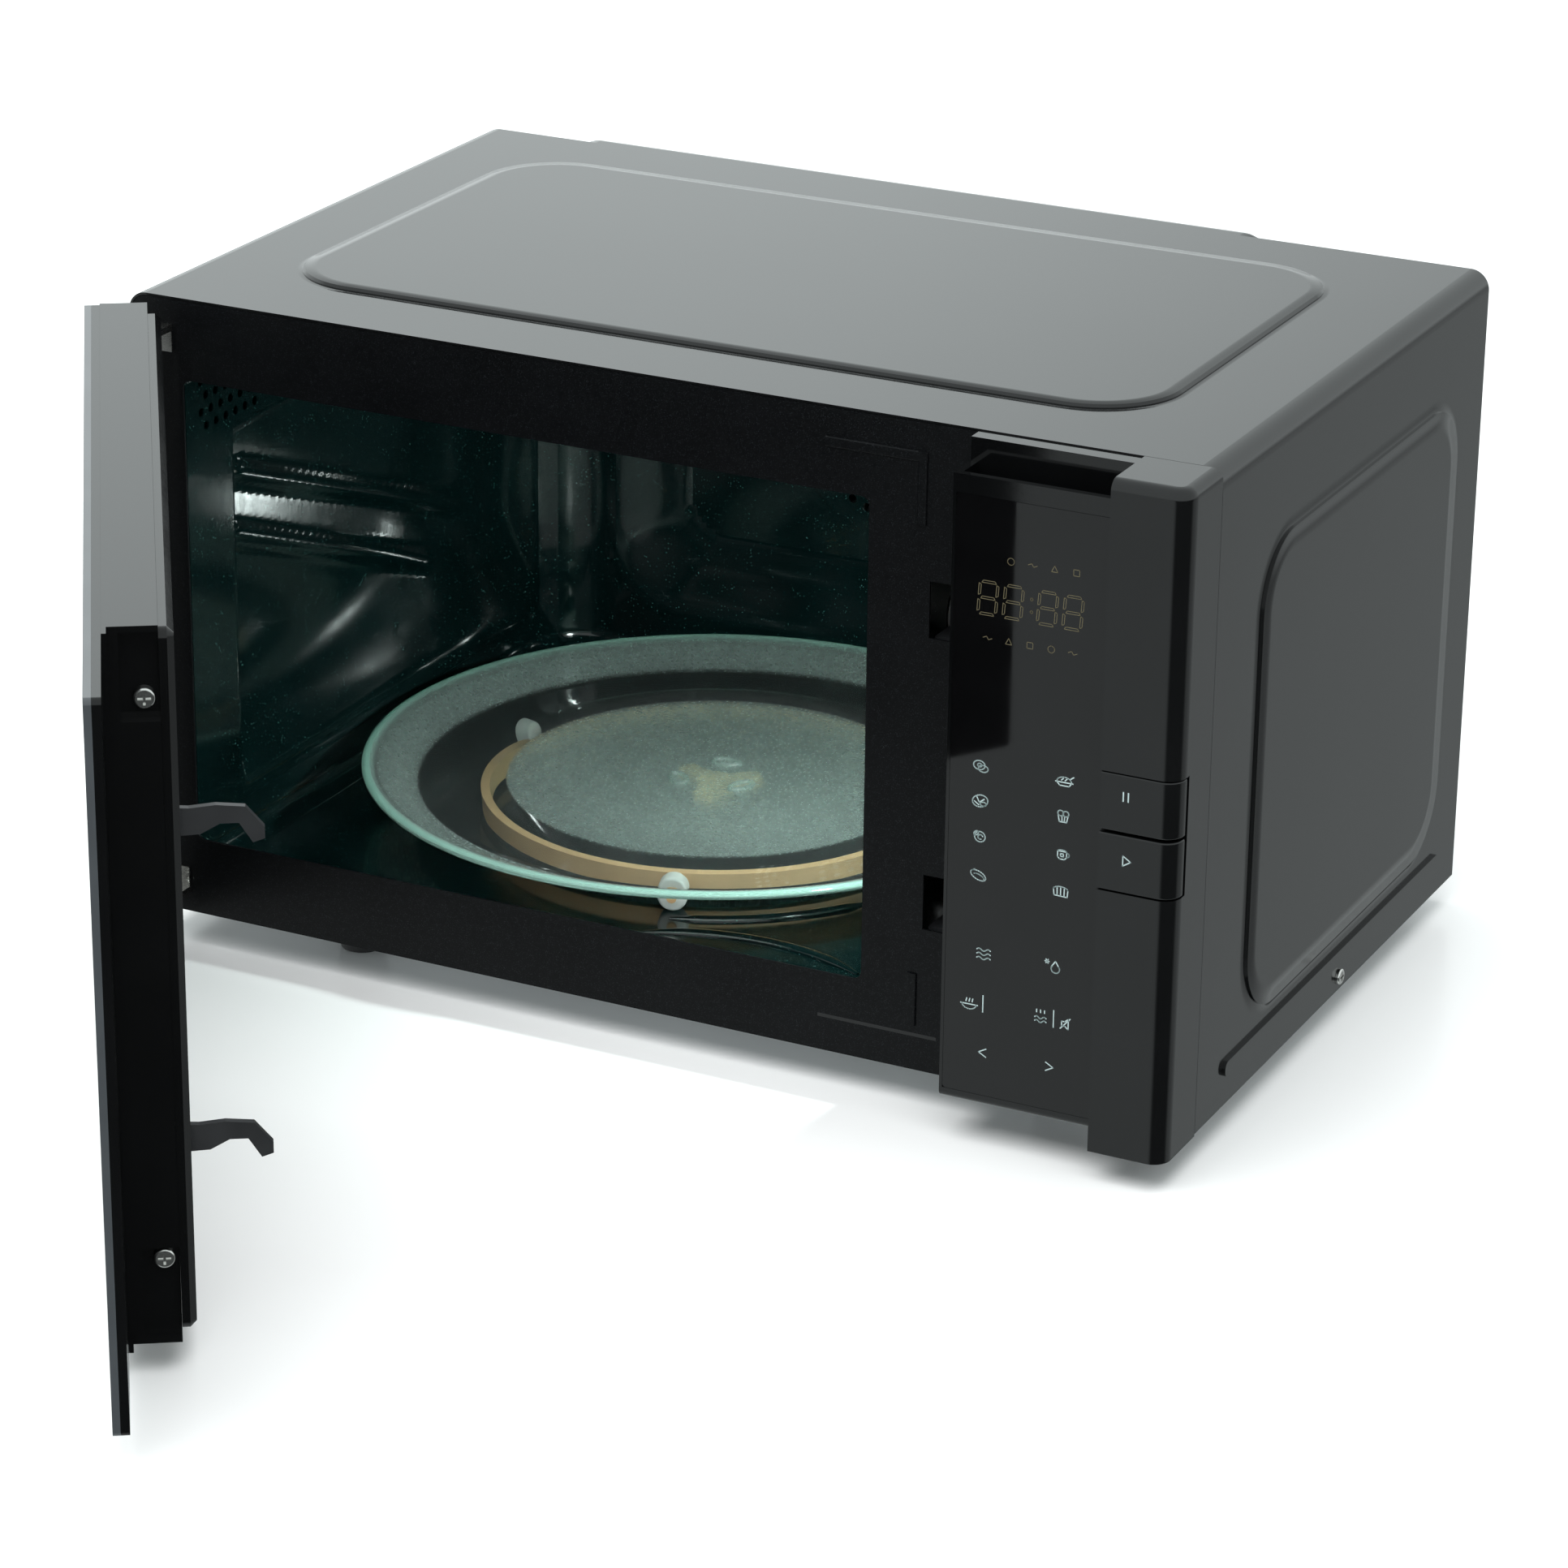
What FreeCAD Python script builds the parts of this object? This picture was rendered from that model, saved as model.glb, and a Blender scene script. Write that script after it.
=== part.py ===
"""Countertop microwave oven with a left-hinged door, drawn with the door standing open.

Axes: +X to the oven's right, +Y to its back, +Z up. The parts are drawn in the oven's own
frame: x = 0 at the casing's left side, y = 0 at the front plate's face, z = 0 at the casing's
bottom edge. The door's parts are drawn closed and then swung about the hinge pins. At the end
everything is moved so that the origin lies under the middle of the whole box, at the feet.
"""
import FreeCAD, Part
import math
import os

V = FreeCAD.Vector
X, Y, Z = V(1, 0, 0), V(0, 1, 0), V(0, 0, 1)

# ---- casing ----
CASE_W, CASE_D, CASE_H = 515.0, 314.0, 292.0
SHEET = 1.0                 # sheet metal
MIDDLE = (255.0, -19.5)     # middle of the whole box, open door included, x and y
CASE_R = 9.0                # bend along the casing's top edges
FOOT_H = 14.0
EMBOSS = 1.6                # height of the raised panels
TOP_PANEL = ((45.0, 463.0), (44.0, 275.0), 38.0)     # x, y, corner radius
SIDE_PANEL = ((48.0, 280.0), (30.0, 244.0), 32.0)    # y, z, corner radius

# ---- front plate and cooking cavity ----
OPEN_X, OPEN_Z, OPEN_R = (26.6, 359.7), (37.7, 254.8), 4.0
RIB_H = 0.8                 # pressed ribs of the front plate
CAV_X, CAV_Y, CAV_Z = (26.6, 374.6), (1.5, 336.0), (25.0, 262.0)
CAV_CORNER = 34.0           # upright corners at the back
CAV_EDGE = 10.0             # edges along the floor and the ceiling
POCKET_X = 18.0             # depth of the pressed pocket in the left wall
POCKET_Y, POCKET_Z = (39.0, 330.0), (48.0, 224.0)
POCKET_RAMP = 38.0          # height of the slope at the pocket's lower edge
POCKET_END_R = 50.0         # sweep of its rear end
RECESS_X, RECESS_Z = (57.0, 349.0), (50.0, 246.0)       # mouth of the recess in the back wall
RECESS_D, RECESS_SLOPE, RECESS_R = 14.0, 30.0, 42.0     # its depth, sloping border and corner radius
FAN_C = (203.0, 150.0)      # centre of the convection fan, x and z
COVER_R = 44.0
HEATER_R, HEATER_END_X = 62.0, 9.7      # ring heater round the convection fan
CHAMBER_Y = CAV_Y[1] + RECESS_D + SHEET + 0.2
REAR_Y = 385.0              # back of the rear housing
REAR_SCREWS = [(24.0, 285.2), (255.0, 285.2), (490.0, 285.2), (420.0, 12.0), (503.0, 60.0)]
HOUSING_SCREWS = [(x, z) for x in (60.0, 200.0, 340.0) for z in (12.4, 277.6)]

# ---- turntable ----
TABLE_C = (204.0, 167.0)    # axis of the turntable, x and y
TABLE_TURN = 40.0           # heading of the coupler's first arm at rest
PLATE_R, PLATE_H, GLASS_T = 164.0, 14.0, 4.0
WHEEL_R, WHEEL_GAP = 6.7, 0.3
RING_R = 116.0              # radius at the middle of the wheels
FLOOR_Z = CAV_Z[0]
PLATE_Z = FLOOR_Z + 2 * (WHEEL_R + WHEEL_GAP)

# ---- control panel ----
PANEL_X, PANEL_Z = (408.8, 480.4), (4.5, 281.0)
PANEL_Y = -25.0             # face of the touch glass
TOUCH_Z = (9.0, 273.0)
PILLAR_X, PILLAR_Y, PILLAR_Z = (481.0, 515.0), -34.0, (-1.0, 292.0)
PILLAR_R = 8.0
STOP_Z, START_Z = (143.6, 168.6), (117.4, 142.4)
BUTTON_GAP = 0.5
BUTTON_TRAVEL = 1.5

# ---- door ----
HINGE = (6.0, -22.0)        # pin axis, x and y
OPEN_ANGLE = 56.5           # how far the door stands open
DOOR_Z = (-2.0, 291.0)
DOOR_X = (1.0, 480.3)       # the outer glass also covers the touch panel
BODY_X = (1.0, 407.0)       # the thick inner part
GLASS_Y = (-34.0, -31.0)
CARRIER_Y = (-31.0, -27.5)
FRAME_Y = (-27.5, -7.0)
LIP_Y = (-7.0, -1.3)
WINDOW_X, WINDOW_Z = (66.0, 338.0), (62.0, 238.0)
HINGE_Z = (278.0, 12.0)     # middles of the two hinge arms
ARM_T = 3.0
PIN_R, PIN_FIT = 3.0, 0.05

# ---- latch ----
HOOK_X = (391.0, 394.0)
HOOK_Z = (208.0, 78.0)      # middles of the two hook roots
SLOT_X = (388.0, 402.0)
SLOT_Z = ((198.0, 223.0), (67.0, 92.0))
LATCH_TRAVEL = 4.0


# ---------------------------------------------------------------- helpers
def block(x, y, z):
    """Box between the limits x, y and z, each a (low, high) pair."""
    return Part.makeBox(x[1] - x[0], y[1] - y[0], z[1] - z[0], V(x[0], y[0], z[0]))


def along(shape, axis):
    """Straight edges of a shape that run along an axis."""
    found = []
    for edge in shape.Edges:
        if edge.Curve.TypeId == "Part::GeomLine" and abs(edge.Curve.Direction.dot(axis)) > 0.999:
            found.append(edge)
    return found


def rounded(shape, radius, axis, keep=None):
    """Fillet the edges along an axis; keep(centre) picks some of them."""
    edges = [e for e in along(shape, axis) if keep is None or keep(e.CenterOfMass)]
    return shape.makeFillet(radius, edges)


def rod(radius, start, end):
    """Cylinder between two points."""
    start, end = V(*start), V(*end)
    return Part.makeCylinder(radius, (end - start).Length, start, end - start)


def tube(outer, inner, start, end):
    """Round tube between two points."""
    return rod(outer, start, end).cut(rod(inner, start, end))


def fuse(shapes):
    """One solid from overlapping or touching shapes."""
    return shapes[0].multiFuse(shapes[1:]).removeSplitter()


def group(shapes):
    """Separate solids kept in one node."""
    return Part.makeCompound(shapes)


def grown(pair, amount):
    """A (low, high) pair moved outwards at both ends."""
    return (pair[0] - amount, pair[1] + amount)


def extruded(points, axis, length):
    """Solid from a closed polygon of (x, y, z) points, pushed along an axis."""
    wire = Part.makePolygon([V(*p) for p in points + points[:1]])
    return Part.Face(wire).extrude(axis * length)


def swept_tube(points, radius, corner):
    """Round bar along straight runs joined by arcs of one radius."""
    points = [V(*p) for p in points]
    edges, start = [], points[0]
    for before, here, after in zip(points, points[1:], points[2:]):
        a, b = (before - here).normalize(), (after - here).normalize()
        half = math.acos(max(-1.0, min(1.0, a.dot(b)))) / 2
        reach = corner / math.tan(half)
        middle = here + (a + b).normalize() * (corner / math.sin(half) - corner)
        edges.append(Part.LineSegment(start, here + a * reach).toShape())
        edges.append(Part.Arc(here + a * reach, middle, here + b * reach).toShape())
        start = here + b * reach
    edges.append(Part.LineSegment(start, points[-1]).toShape())
    path = Part.Wire(edges)
    heading = (points[1] - points[0]).normalize()
    section = Part.Wire(Part.makeCircle(radius, points[0], heading))
    return path.makePipeShell([section], True, False)


def screw(head_r, head_h, thread_r, length, at, direction):
    """Pan-head screw with a cross recess; at is the middle under the head."""
    head = Part.makeCylinder(head_r, head_h, V(0, 0, 0), Z)
    rim = [e for e in head.Edges if abs(e.CenterOfMass.z - head_h) < 1e-6][:1]
    head = head.makeFillet(head_h * 0.45, rim)
    shank = Part.makeCylinder(thread_r, length, V(0, 0, -length), Z)
    cross = []
    for turn in (0, 90):
        arm = block((-head_r * 0.6, head_r * 0.6), (-0.5, 0.5), (head_h * 0.4, head_h + 1))
        arm.rotate(V(0, 0, 0), Z, turn)
        cross.append(arm)
    body = fuse([head, shank]).cut(fuse(cross))
    body.Placement = FreeCAD.Placement(V(*at), FreeCAD.Rotation(Z, V(*direction)))
    return body


# ---------------------------------------------------------------- cabinet shells
def side_bumps(x0, outward):
    """Raised panel and long bead on one side wall, and the hollow behind them."""
    (ys, zs, radius), reach = SIDE_PANEL, EMBOSS * outward

    def layer(inset, a, b, bead):
        x = tuple(sorted((a, b)))
        panel = rounded(block(x, grown(ys, -inset), grown(zs, -inset)), radius - inset, X)
        ridge = rounded(block(x, grown((28.0, 288.0), -inset), grown((14.0, 21.0), -inset)), bead, X)
        return [panel, ridge]

    outer = layer(0.0, x0 - SHEET * outward, x0 + reach, 3.3)
    inner = layer(SHEET, x0 - SHEET * outward, x0 + reach - SHEET * outward, 2.3)
    return outer, inner


def outer_casing():
    """Wrapped sheet: top and both sides, with pressed panels and bottom flanges."""
    top = lambda centre: centre.z > CASE_H / 2
    outer = rounded(block((0, CASE_W), (0, CASE_D), (0, CASE_H)), CASE_R, Y, top)
    inner = rounded(block((SHEET, CASE_W - SHEET), (-1, CASE_D + 1), (-1, CASE_H - SHEET)),
                    CASE_R - SHEET, Y, top)
    shell = outer.cut(inner)
    xs, ys, radius = TOP_PANEL
    plateau = rounded(block(xs, ys, (CASE_H - SHEET, CASE_H + EMBOSS)), radius, Z)
    rim = [e for e in plateau.Edges if abs(e.CenterOfMass.z - CASE_H - EMBOSS) < 1e-6]
    plateau = plateau.makeChamfer(EMBOSS * 0.7, rim)
    hollow = rounded(block(grown(xs, -SHEET), grown(ys, -SHEET), (CASE_H - 2, CASE_H + EMBOSS - SHEET)),
                     radius - SHEET, Z)
    added, removed = [plateau], [hollow]
    for x0, outward in ((0.0, -1), (CASE_W, 1)):
        bumps, hollows = side_bumps(x0, outward)
        added += bumps
        removed += hollows
    for x in ((0.0, 14.0), (CASE_W - 14.0, CASE_W)):
        added.append(block(x, (2.0, CASE_D), (0.0, SHEET)))
    vents = []
    for row in range(3):
        for column in range(11):
            y, z = 196.0 + 9.0 * column, 262.0 - 6.0 * row
            vents.append(block((-3.0, 3.0), (y, y + 6.0), (z, z + 2.6)))
    shell = fuse([shell] + added).cut(fuse(removed))
    holes = [rod(1.9, (x - 5, 165.0, 7.0), (x + 5, 165.0, 7.0)) for x in (0.0, CASE_W)]
    return shell.cut(Part.makeCompound(vents + holes))


def base_plate():
    """Bottom tray with turned-up edges, vent slots and foot holes."""
    tray = block((SHEET + 0.3, CASE_W - SHEET - 0.3), (1.2, CASE_D - 1.2), (1.2, 2.2))
    flange = block((SHEET + 0.3, CASE_W - SHEET - 0.3), (1.2, 2.2), (2.2, 12.0))
    edges = [flange]
    for x in (SHEET + 0.3, CASE_W - 2 * SHEET - 0.3):
        edges.append(block((x, x + SHEET), (1.2, CASE_D - 1.2), (2.2, 12.0)))
    tray = fuse([tray] + edges)
    cuts = []
    for i in range(12):
        for y in (40.0, 84.0, 128.0):
            cuts.append(block((400.0 + 8.0 * i, 403.5 + 8.0 * i), (y, y + 36.0), (0, 4)))
    for x, y in foot_places():
        cuts.append(rod(3.0, (x, y, 0), (x, y, 4)))
    cuts.append(rod(24.0, (TABLE_C[0], TABLE_C[1], 0), (TABLE_C[0], TABLE_C[1], 4)))
    for side in ((0.0, 6.0), (CASE_W - 6.0, CASE_W)):
        cuts.append(block(side, (160.0, 170.0), (4.0, 14.0)))
    return tray.cut(Part.makeCompound(cuts))


def foot_places():
    """Middles of the four feet."""
    return [(x, y) for x in (92.0, 440.0) for y in (34.0, 270.0)]


def feet():
    """Four rubber feet, each with a peg in the base."""
    parts = []
    for x, y in foot_places():
        pad = Part.makeCone(10.0, 12.0, FOOT_H + 1.2 - 0.2, V(x, y, -FOOT_H), Z)
        parts.append(fuse([pad, rod(2.8, (x, y, 0.5), (x, y, 4.5))]))
    return group(parts)


def rear_panel():
    """Back sheet with the large hole for the cavity's rear end, vents and the cord hole."""
    x, z = (SHEET + 0.3, CASE_W - SHEET - 0.3), (2.4, CASE_H - SHEET - 0.3)
    panel = block(x, (CASE_D - 1.2, CASE_D - 0.2), z)
    panel = rounded(panel, CASE_R - 2.0, Y, lambda centre: centre.z > CASE_H - 5)
    cuts = [block(grown(CAV_X, 1.4), (CASE_D - 5, CASE_D + 5), grown(CAV_Z, 1.4)), left_pocket(SHEET + 0.4)]
    for row in range(9):
        for column in range(8):
            x, z = 398.0 + 13.0 * column, 100.0 + 9.0 * row
            cuts.append(rounded(block((x, x + 10.0), (CASE_D - 3, CASE_D + 3), (z, z + 4.0)), 1.9, Y))
    cuts.append(rod(8.2, (478.0, CASE_D - 5, 34.0), (478.0, CASE_D + 5, 34.0)))
    for x, z in REAR_SCREWS + HOUSING_SCREWS:
        cuts.append(rod(1.6, (x, CASE_D - 5, z), (x, CASE_D + 5, z)))
    return panel.cut(Part.makeCompound(cuts))


def rear_housing():
    """Deep cover over the cavity's rear end and the convection fan."""
    x, z = (16.0, 386.0), (16.0, 274.0)
    outer = rounded(block(x, (CASE_D, REAR_Y), z), 14.0, Y)
    rim = [e for e in outer.Edges if abs(e.CenterOfMass.y - REAR_Y) < 1e-6]
    outer = outer.makeFillet(8.0, rim)
    inner = rounded(block(grown(x, -SHEET), (CASE_D - 1, REAR_Y - SHEET), grown(z, -SHEET)), 13.0, Y)
    inner = inner.makeFillet(7.0, [e for e in inner.Edges if abs(e.CenterOfMass.y - REAR_Y + SHEET) < 1e-6])
    flange = rounded(block(grown(x, 7.0), (CASE_D, CASE_D + SHEET), grown(z, 7.0)), 8.0, Y)
    cuts = [rod(1.5, (x0, CASE_D - 5, z0), (x0, CASE_D + 5, z0)) for x0, z0 in HOUSING_SCREWS]
    for row in range(5):
        for column in range(16):
            cx, cz = 74.0 + 17.0 * column, 222.0 + 8.0 * row
            cuts.append(rounded(block((cx, cx + 13.0), (REAR_Y - 9, REAR_Y + 5), (cz, cz + 3.6)), 1.7, Y))
    cuts.append(inner)
    return fuse([outer, flange]).cut(Part.makeCompound(cuts))


# ---------------------------------------------------------------- front plate and cavity
def front_plate():
    """Enamelled front plate with the cavity's mouth, latch slots and pressed ribs."""
    plate = block((SHEET + 0.2, CASE_W - SHEET - 0.2), (0.0, SHEET), (1.2, CASE_H - SHEET - 0.2))
    plate = rounded(plate, CASE_R - SHEET, Y, lambda centre: centre.z > CASE_H - 5)
    face = (-RIB_H, 0.5)
    ribs = [block((339.5, 386.0), face, (274.0, 278.5)), block((381.5, 386.0), face, (247.0, 278.5)),
            block((381.5, 386.0), face, (22.0, 46.0))]
    ribs = [rounded(rib, RIB_H * 0.9, X if rib.BoundBox.XLength > rib.BoundBox.ZLength else Z,
                    lambda centre: centre.y < -RIB_H / 2) for rib in ribs]
    cuts = [rounded(block(OPEN_X, (-3, 3), OPEN_Z), OPEN_R, Y)]
    cuts += [block(SLOT_X, (-3, 3), z) for z in SLOT_Z]
    return fuse([plate] + ribs).cut(Part.makeCompound(cuts))


def liner_block(grow):
    """Rounded block that the cavity's inner and outer faces are cut from."""
    solid = block(grown(CAV_X, grow), (CAV_Y[0] - 0.5, CAV_Y[1] + grow), grown(CAV_Z, grow))
    solid = rounded(solid, CAV_CORNER + grow, Z, lambda centre: centre.y > CAV_Y[1] - 5)
    return rounded(solid, CAV_EDGE + grow, Y)


def left_pocket(grow):
    """Pressed pocket of the left wall."""
    deep, wall = CAV_X[0] - POCKET_X - grow, CAV_X[0] + 12.0
    y, z = grown(POCKET_Y, grow), grown(POCKET_Z, grow)
    slope = POCKET_RAMP / POCKET_X * (wall - CAV_X[0])
    side = [(deep, y[0], z[0] + POCKET_RAMP), (wall, y[0], z[0] - slope), (wall, y[0], z[1] + 6.0),
            (deep, y[0], z[1] - 10.0)]
    plan = block((deep, deep + 80.0), y, grown(z, 40.0))
    plan = rounded(plan, POCKET_END_R, Z, lambda centre: centre.y > y[1] - 1 and centre.x < deep + 1)
    return extruded(side, Y, y[1] - y[0]).common(plan)


def rear_recess(grow):
    """Recess of the back wall: its rounded mouth narrows towards its flat bottom."""
    wires = []
    for inset, y in ((-grow, CAV_Y[1]), (RECESS_SLOPE - grow, CAV_Y[1] + RECESS_D + grow)):
        flat = block(grown(RECESS_X, -inset), (y, y + 1.0), grown(RECESS_Z, -inset))
        flat = rounded(flat, RECESS_R - inset * 0.6, Y)
        wires.append([face.OuterWire for face in flat.Faces if abs(face.CenterOfMass.y - y) < 1e-6][0])
    return Part.makeLoft(wires, True)


def cavity_liner():
    """Enamelled steel cavity with pressed pocket, ribs, vents, fan recess and drive hole."""
    cx, cy = TABLE_C
    outer = [liner_block(SHEET), left_pocket(SHEET), rear_recess(SHEET)]
    shell = fuse(outer).cut(fuse([liner_block(0.0), left_pocket(0.0), rear_recess(0.0)]))
    mouth = block(grown(CAV_X, 2), (-1, CAV_Y[0]), grown(CAV_Z, 2))
    shell = shell.cut(mouth)
    ribs = []
    deep = CAV_X[0] - POCKET_X
    for start, end in (((66.0, 193.0), (262.0, 119.0)), ((62.0, 165.0), (231.0, 99.0))):
        corners = [(*start, 0.0), (*end, 0.0), (*end, -5.0), (*start, -5.0)]
        ribs.append(extruded([(deep - 0.5, y, z + drop) for y, z, drop in corners], X, 2.5))
    cuts = [rod(7.0, (cx, cy, FLOOR_Z - 5), (cx, cy, FLOOR_Z + 5)),
            rod(COVER_R - 6.0, (FAN_C[0], 345.0, FAN_C[1]), (FAN_C[0], 355.0, FAN_C[1])),
            block((CAV_X[1] - 5, CAV_X[1] + 5), (110.0, 190.0), (150.0, 196.0))]
    for side in (-1, 1):
        for column in range(4):
            for row in range(7):
                x, z = FAN_C[0] + side * (54.0 + 5.0 * column), FAN_C[1] - 21.0 + 7.0 * row
                cuts.append(rod(1.8, (x, 345.0, z), (x, 355.0, z)))
    for row in range(-3, 4):
        for column in range(-3, 4):
            y, z = 60.0 + 3.6 * column + 1.8 * (row % 2), 190.0 + 3.2 * row
            cuts.append(rod(1.2, (CAV_X[1] - 5, y, z), (CAV_X[1] + 5, y, z)))
    for row in range(4):
        for column in range(6):
            y, z = 14.0 + 8.0 * column + 4.0 * (row % 2), 250.0 - 7.0 * row
            cuts.append(rod(2.0, (CAV_X[0] - 5, y, z), (CAV_X[0] + 5, y, z)))
    return fuse([shell] + ribs).cut(Part.makeCompound(cuts))


def convection_cover():
    """Perforated disc over the convection fan."""
    y = CAV_Y[1] + RECESS_D - 5.0
    disc = rod(COVER_R, (FAN_C[0], y, FAN_C[1]), (FAN_C[0], y + 1.0, FAN_C[1]))
    holes = []
    for ring in range(1, 5):
        radius, count = 8.0 * ring, 6 * ring
        for i in range(count):
            a = 2 * math.pi * i / count
            x, z = FAN_C[0] + radius * math.cos(a), FAN_C[1] + radius * math.sin(a)
            holes.append(rod(2.2, (x, y - 1, z), (x, y + 3, z)))
    posts = []
    for i in range(3):
        a = 2 * math.pi * (i + 0.25) / 3
        x, z = FAN_C[0] + (COVER_R - 3.0) * math.cos(a), FAN_C[1] + (COVER_R - 3.0) * math.sin(a)
        posts.append(rod(2.0, (x, y + 1.0, z), (x, y + 5.0, z)))
    return fuse([disc.cut(Part.makeCompound(holes))] + posts)


def waveguide_cover():
    """Mica sheet over the waveguide's mouth in the right wall."""
    sheet = rounded(block((CAV_X[1] - 1.0, CAV_X[1] - 0.2), (100.0, 200.0), (142.0, 204.0)), 5.0, X)
    clip = rod(3.0, (CAV_X[1] - 2.2, 150.0, 204.0 - 5.0), (CAV_X[1] - 1.0, 150.0, 204.0 - 5.0))
    return fuse([sheet, clip])


def grill_element():
    """Quartz-type grill bar folded twice under the ceiling, with its two ends in the right wall."""
    z = CAV_Z[1] - 11.0
    points = [(CAV_X[1] - 0.3, 120.0, z), (70.0, 120.0, z), (70.0, 220.0, z), (CAV_X[1] - 0.3, 220.0, z)]
    return swept_tube(points, 3.3, 26.0)


def grill_clips():
    """Two ceiling clips that hold the grill bar."""
    z = CAV_Z[1] - 11.0
    clips = []
    for x in (110.0, 290.0):
        for y in (120.0, 220.0):
            ring = tube(4.5, 3.35, (x - 3, y, z), (x + 3, y, z))
            strap = block((x - 3, x + 3), (y - 1, y + 1), (z + 4.0, CAV_Z[1] - 0.1))
            clips.append(fuse([ring, strap]))
    return group(clips)


# ---------------------------------------------------------------- turntable
def plate_point(radius, height):
    """Point of the plate's profile."""
    return V(radius, 0, PLATE_Z + height)


def glass_plate():
    """Pressed glass turntable with a raised rim and three lugs round the middle."""
    outline = [(0.0, 0.0), (PLATE_R - 26.0, 0.0), (PLATE_R - 6.0, PLATE_H - 4.5), (PLATE_R, PLATE_H - 3.0),
               (PLATE_R, PLATE_H - 0.5), (PLATE_R - 4.0, PLATE_H), (PLATE_R - 9.0, PLATE_H - 1.5),
               (PLATE_R - 27.0, GLASS_T), (0.0, GLASS_T)]
    wire = Part.makePolygon([plate_point(r, h) for r, h in outline + outline[:1]])
    plate = Part.Face(wire).revolve(V(0, 0, 0), Z, 360)
    lugs = []
    for i in range(3):
        lug = rounded(block((12.5, 22.0), (-5.0, 5.0), (PLATE_Z - 3.5, PLATE_Z + 0.5)), 2.5, Z)
        lug.rotate(V(0, 0, 0), Z, 120 * i + 60 + TABLE_TURN)
        lugs.append(lug)
    plate = fuse([plate] + lugs)
    plate.translate(V(TABLE_C[0], TABLE_C[1], 0))
    return plate


def drive_coupler():
    """Three-armed coupler that the motor turns and that carries the plate round."""
    top, bottom = PLATE_Z - 0.1, PLATE_Z - 8.5
    parts = [rod(9.0, (0, 0, bottom), (0, 0, top)), rod(3.95, (0, 0, 6.0), (0, 0, bottom))]
    for i in range(3):
        arm = rounded(block((0.0, 22.0), (-5.0, 5.0), (top - 5.0, top)), 3.0, Z, lambda centre: centre.x > 10)
        arm.rotate(V(0, 0, 0), Z, 120 * i + TABLE_TURN)
        parts.append(arm)
    coupler = fuse(parts)
    coupler.translate(V(TABLE_C[0], TABLE_C[1], 0))
    return coupler


def turntable_motor():
    """Flat synchronous gear motor under the floor, with a shaft socket."""
    x, y = TABLE_C
    body = rod(24.5, (x, y, 3.4), (x, y, 19.4))
    neck = rod(6.5, (x, y, 19.4), (x, y, 24.2))
    ears = rounded(block((x - 33.0, x + 33.0), (y - 6.0, y + 6.0), (18.4, 19.4)), 5.0, Z)
    return fuse([body, neck, ears]).cut(rod(4.0, (x, y, 5.5), (x, y, 30.0)))


def wheel_angles():
    """Headings of the three roller arms, in degrees."""
    return [168.0, 288.0, 48.0]


def wheel_frame(angle):
    """Unit vector from the turntable's axis towards a wheel."""
    return V(math.cos(math.radians(angle)), math.sin(math.radians(angle)), 0)


def roller_ring():
    """Plastic ring with three stub axles for the wheels."""
    middle = FLOOR_Z + WHEEL_GAP + WHEEL_R
    centre = V(TABLE_C[0], TABLE_C[1], middle)
    low, high = middle - 3.5, middle + 4.6
    inner = RING_R - 10.5
    ring = tube(inner + 4.0, inner, (centre.x, centre.y, low), (centre.x, centre.y, high))
    parts = [ring]
    for angle in wheel_angles():
        out = wheel_frame(angle)
        parts.append(rod(2.2, centre + out * (inner + 1.0), centre + out * (RING_R + 5.6)))
        parts.append(rod(3.4, centre + out * (inner + 2.0), centre + out * (RING_R - 4.6)))
    return fuse(parts)


def wheel(angle):
    """One roller wheel with a rounded tread."""
    out = wheel_frame(angle)
    centre = V(TABLE_C[0], TABLE_C[1], FLOOR_Z + WHEEL_GAP + WHEEL_R)
    body = rod(WHEEL_R, centre + out * (RING_R - 4.2), centre + out * (RING_R + 4.2))
    body = body.makeFillet(1.4, [e for e in body.Edges if e.Curve.TypeId == "Part::GeomCircle"])
    return body.cut(rod(2.25, centre + out * (RING_R - 6), centre + out * (RING_R + 6)))


# ---------------------------------------------------------------- control panel
def control_bezel():
    """Moulded panel body with the pocket for the touch glass and a finger scoop on top."""
    x, z = PANEL_X, PANEL_Z
    body = block(x, (PANEL_Y, -0.3), (z[0], CASE_H - 0.6))
    body = rounded(body, 3.0, X, lambda centre: centre.y < PANEL_Y + 1)
    hollow = block((x[0] + 2.2, x[1] - 2.2), (PANEL_Y + 4.0, 2.0), (z[0] + 2.2, 246.0))
    lip = block((x[0] - 1, x[1] + 1), (PANEL_Y - 1, -8.5), (z[1], CASE_H + 1))
    scoop = block((x[0] + 3.0, x[1] - 3.0), (PANEL_Y + 3.2, -8.5), (252.0, CASE_H + 1))
    scoop = rounded(scoop, 4.5, X, lambda centre: centre.z < 260)
    pocket = block((x[0] + 1.4, x[1] - 1.4), (PANEL_Y - 1, PANEL_Y + 2.0), TOUCH_Z)
    window = block((417.0, 471.0), (PANEL_Y - 1, PANEL_Y + 6.0), (208.0, 246.0))
    return body.cut(Part.makeCompound([hollow, pocket, window])).cut(fuse([lip, scoop]))


def control_glass():
    """Black touch glass."""
    x = grown((PANEL_X[0] + 1.4, PANEL_X[1] - 1.4), -0.15)
    glass = rounded(block(x, (PANEL_Y, PANEL_Y + 1.8), grown(TOUCH_Z, -0.15)), 1.5, Y)
    return glass


def display_module():
    """Display block behind the glass."""
    return rounded(block((419.0, 469.0), (PANEL_Y + 2.2, PANEL_Y + 8.0), (210.0, 244.0)), 1.5, Y)


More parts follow.
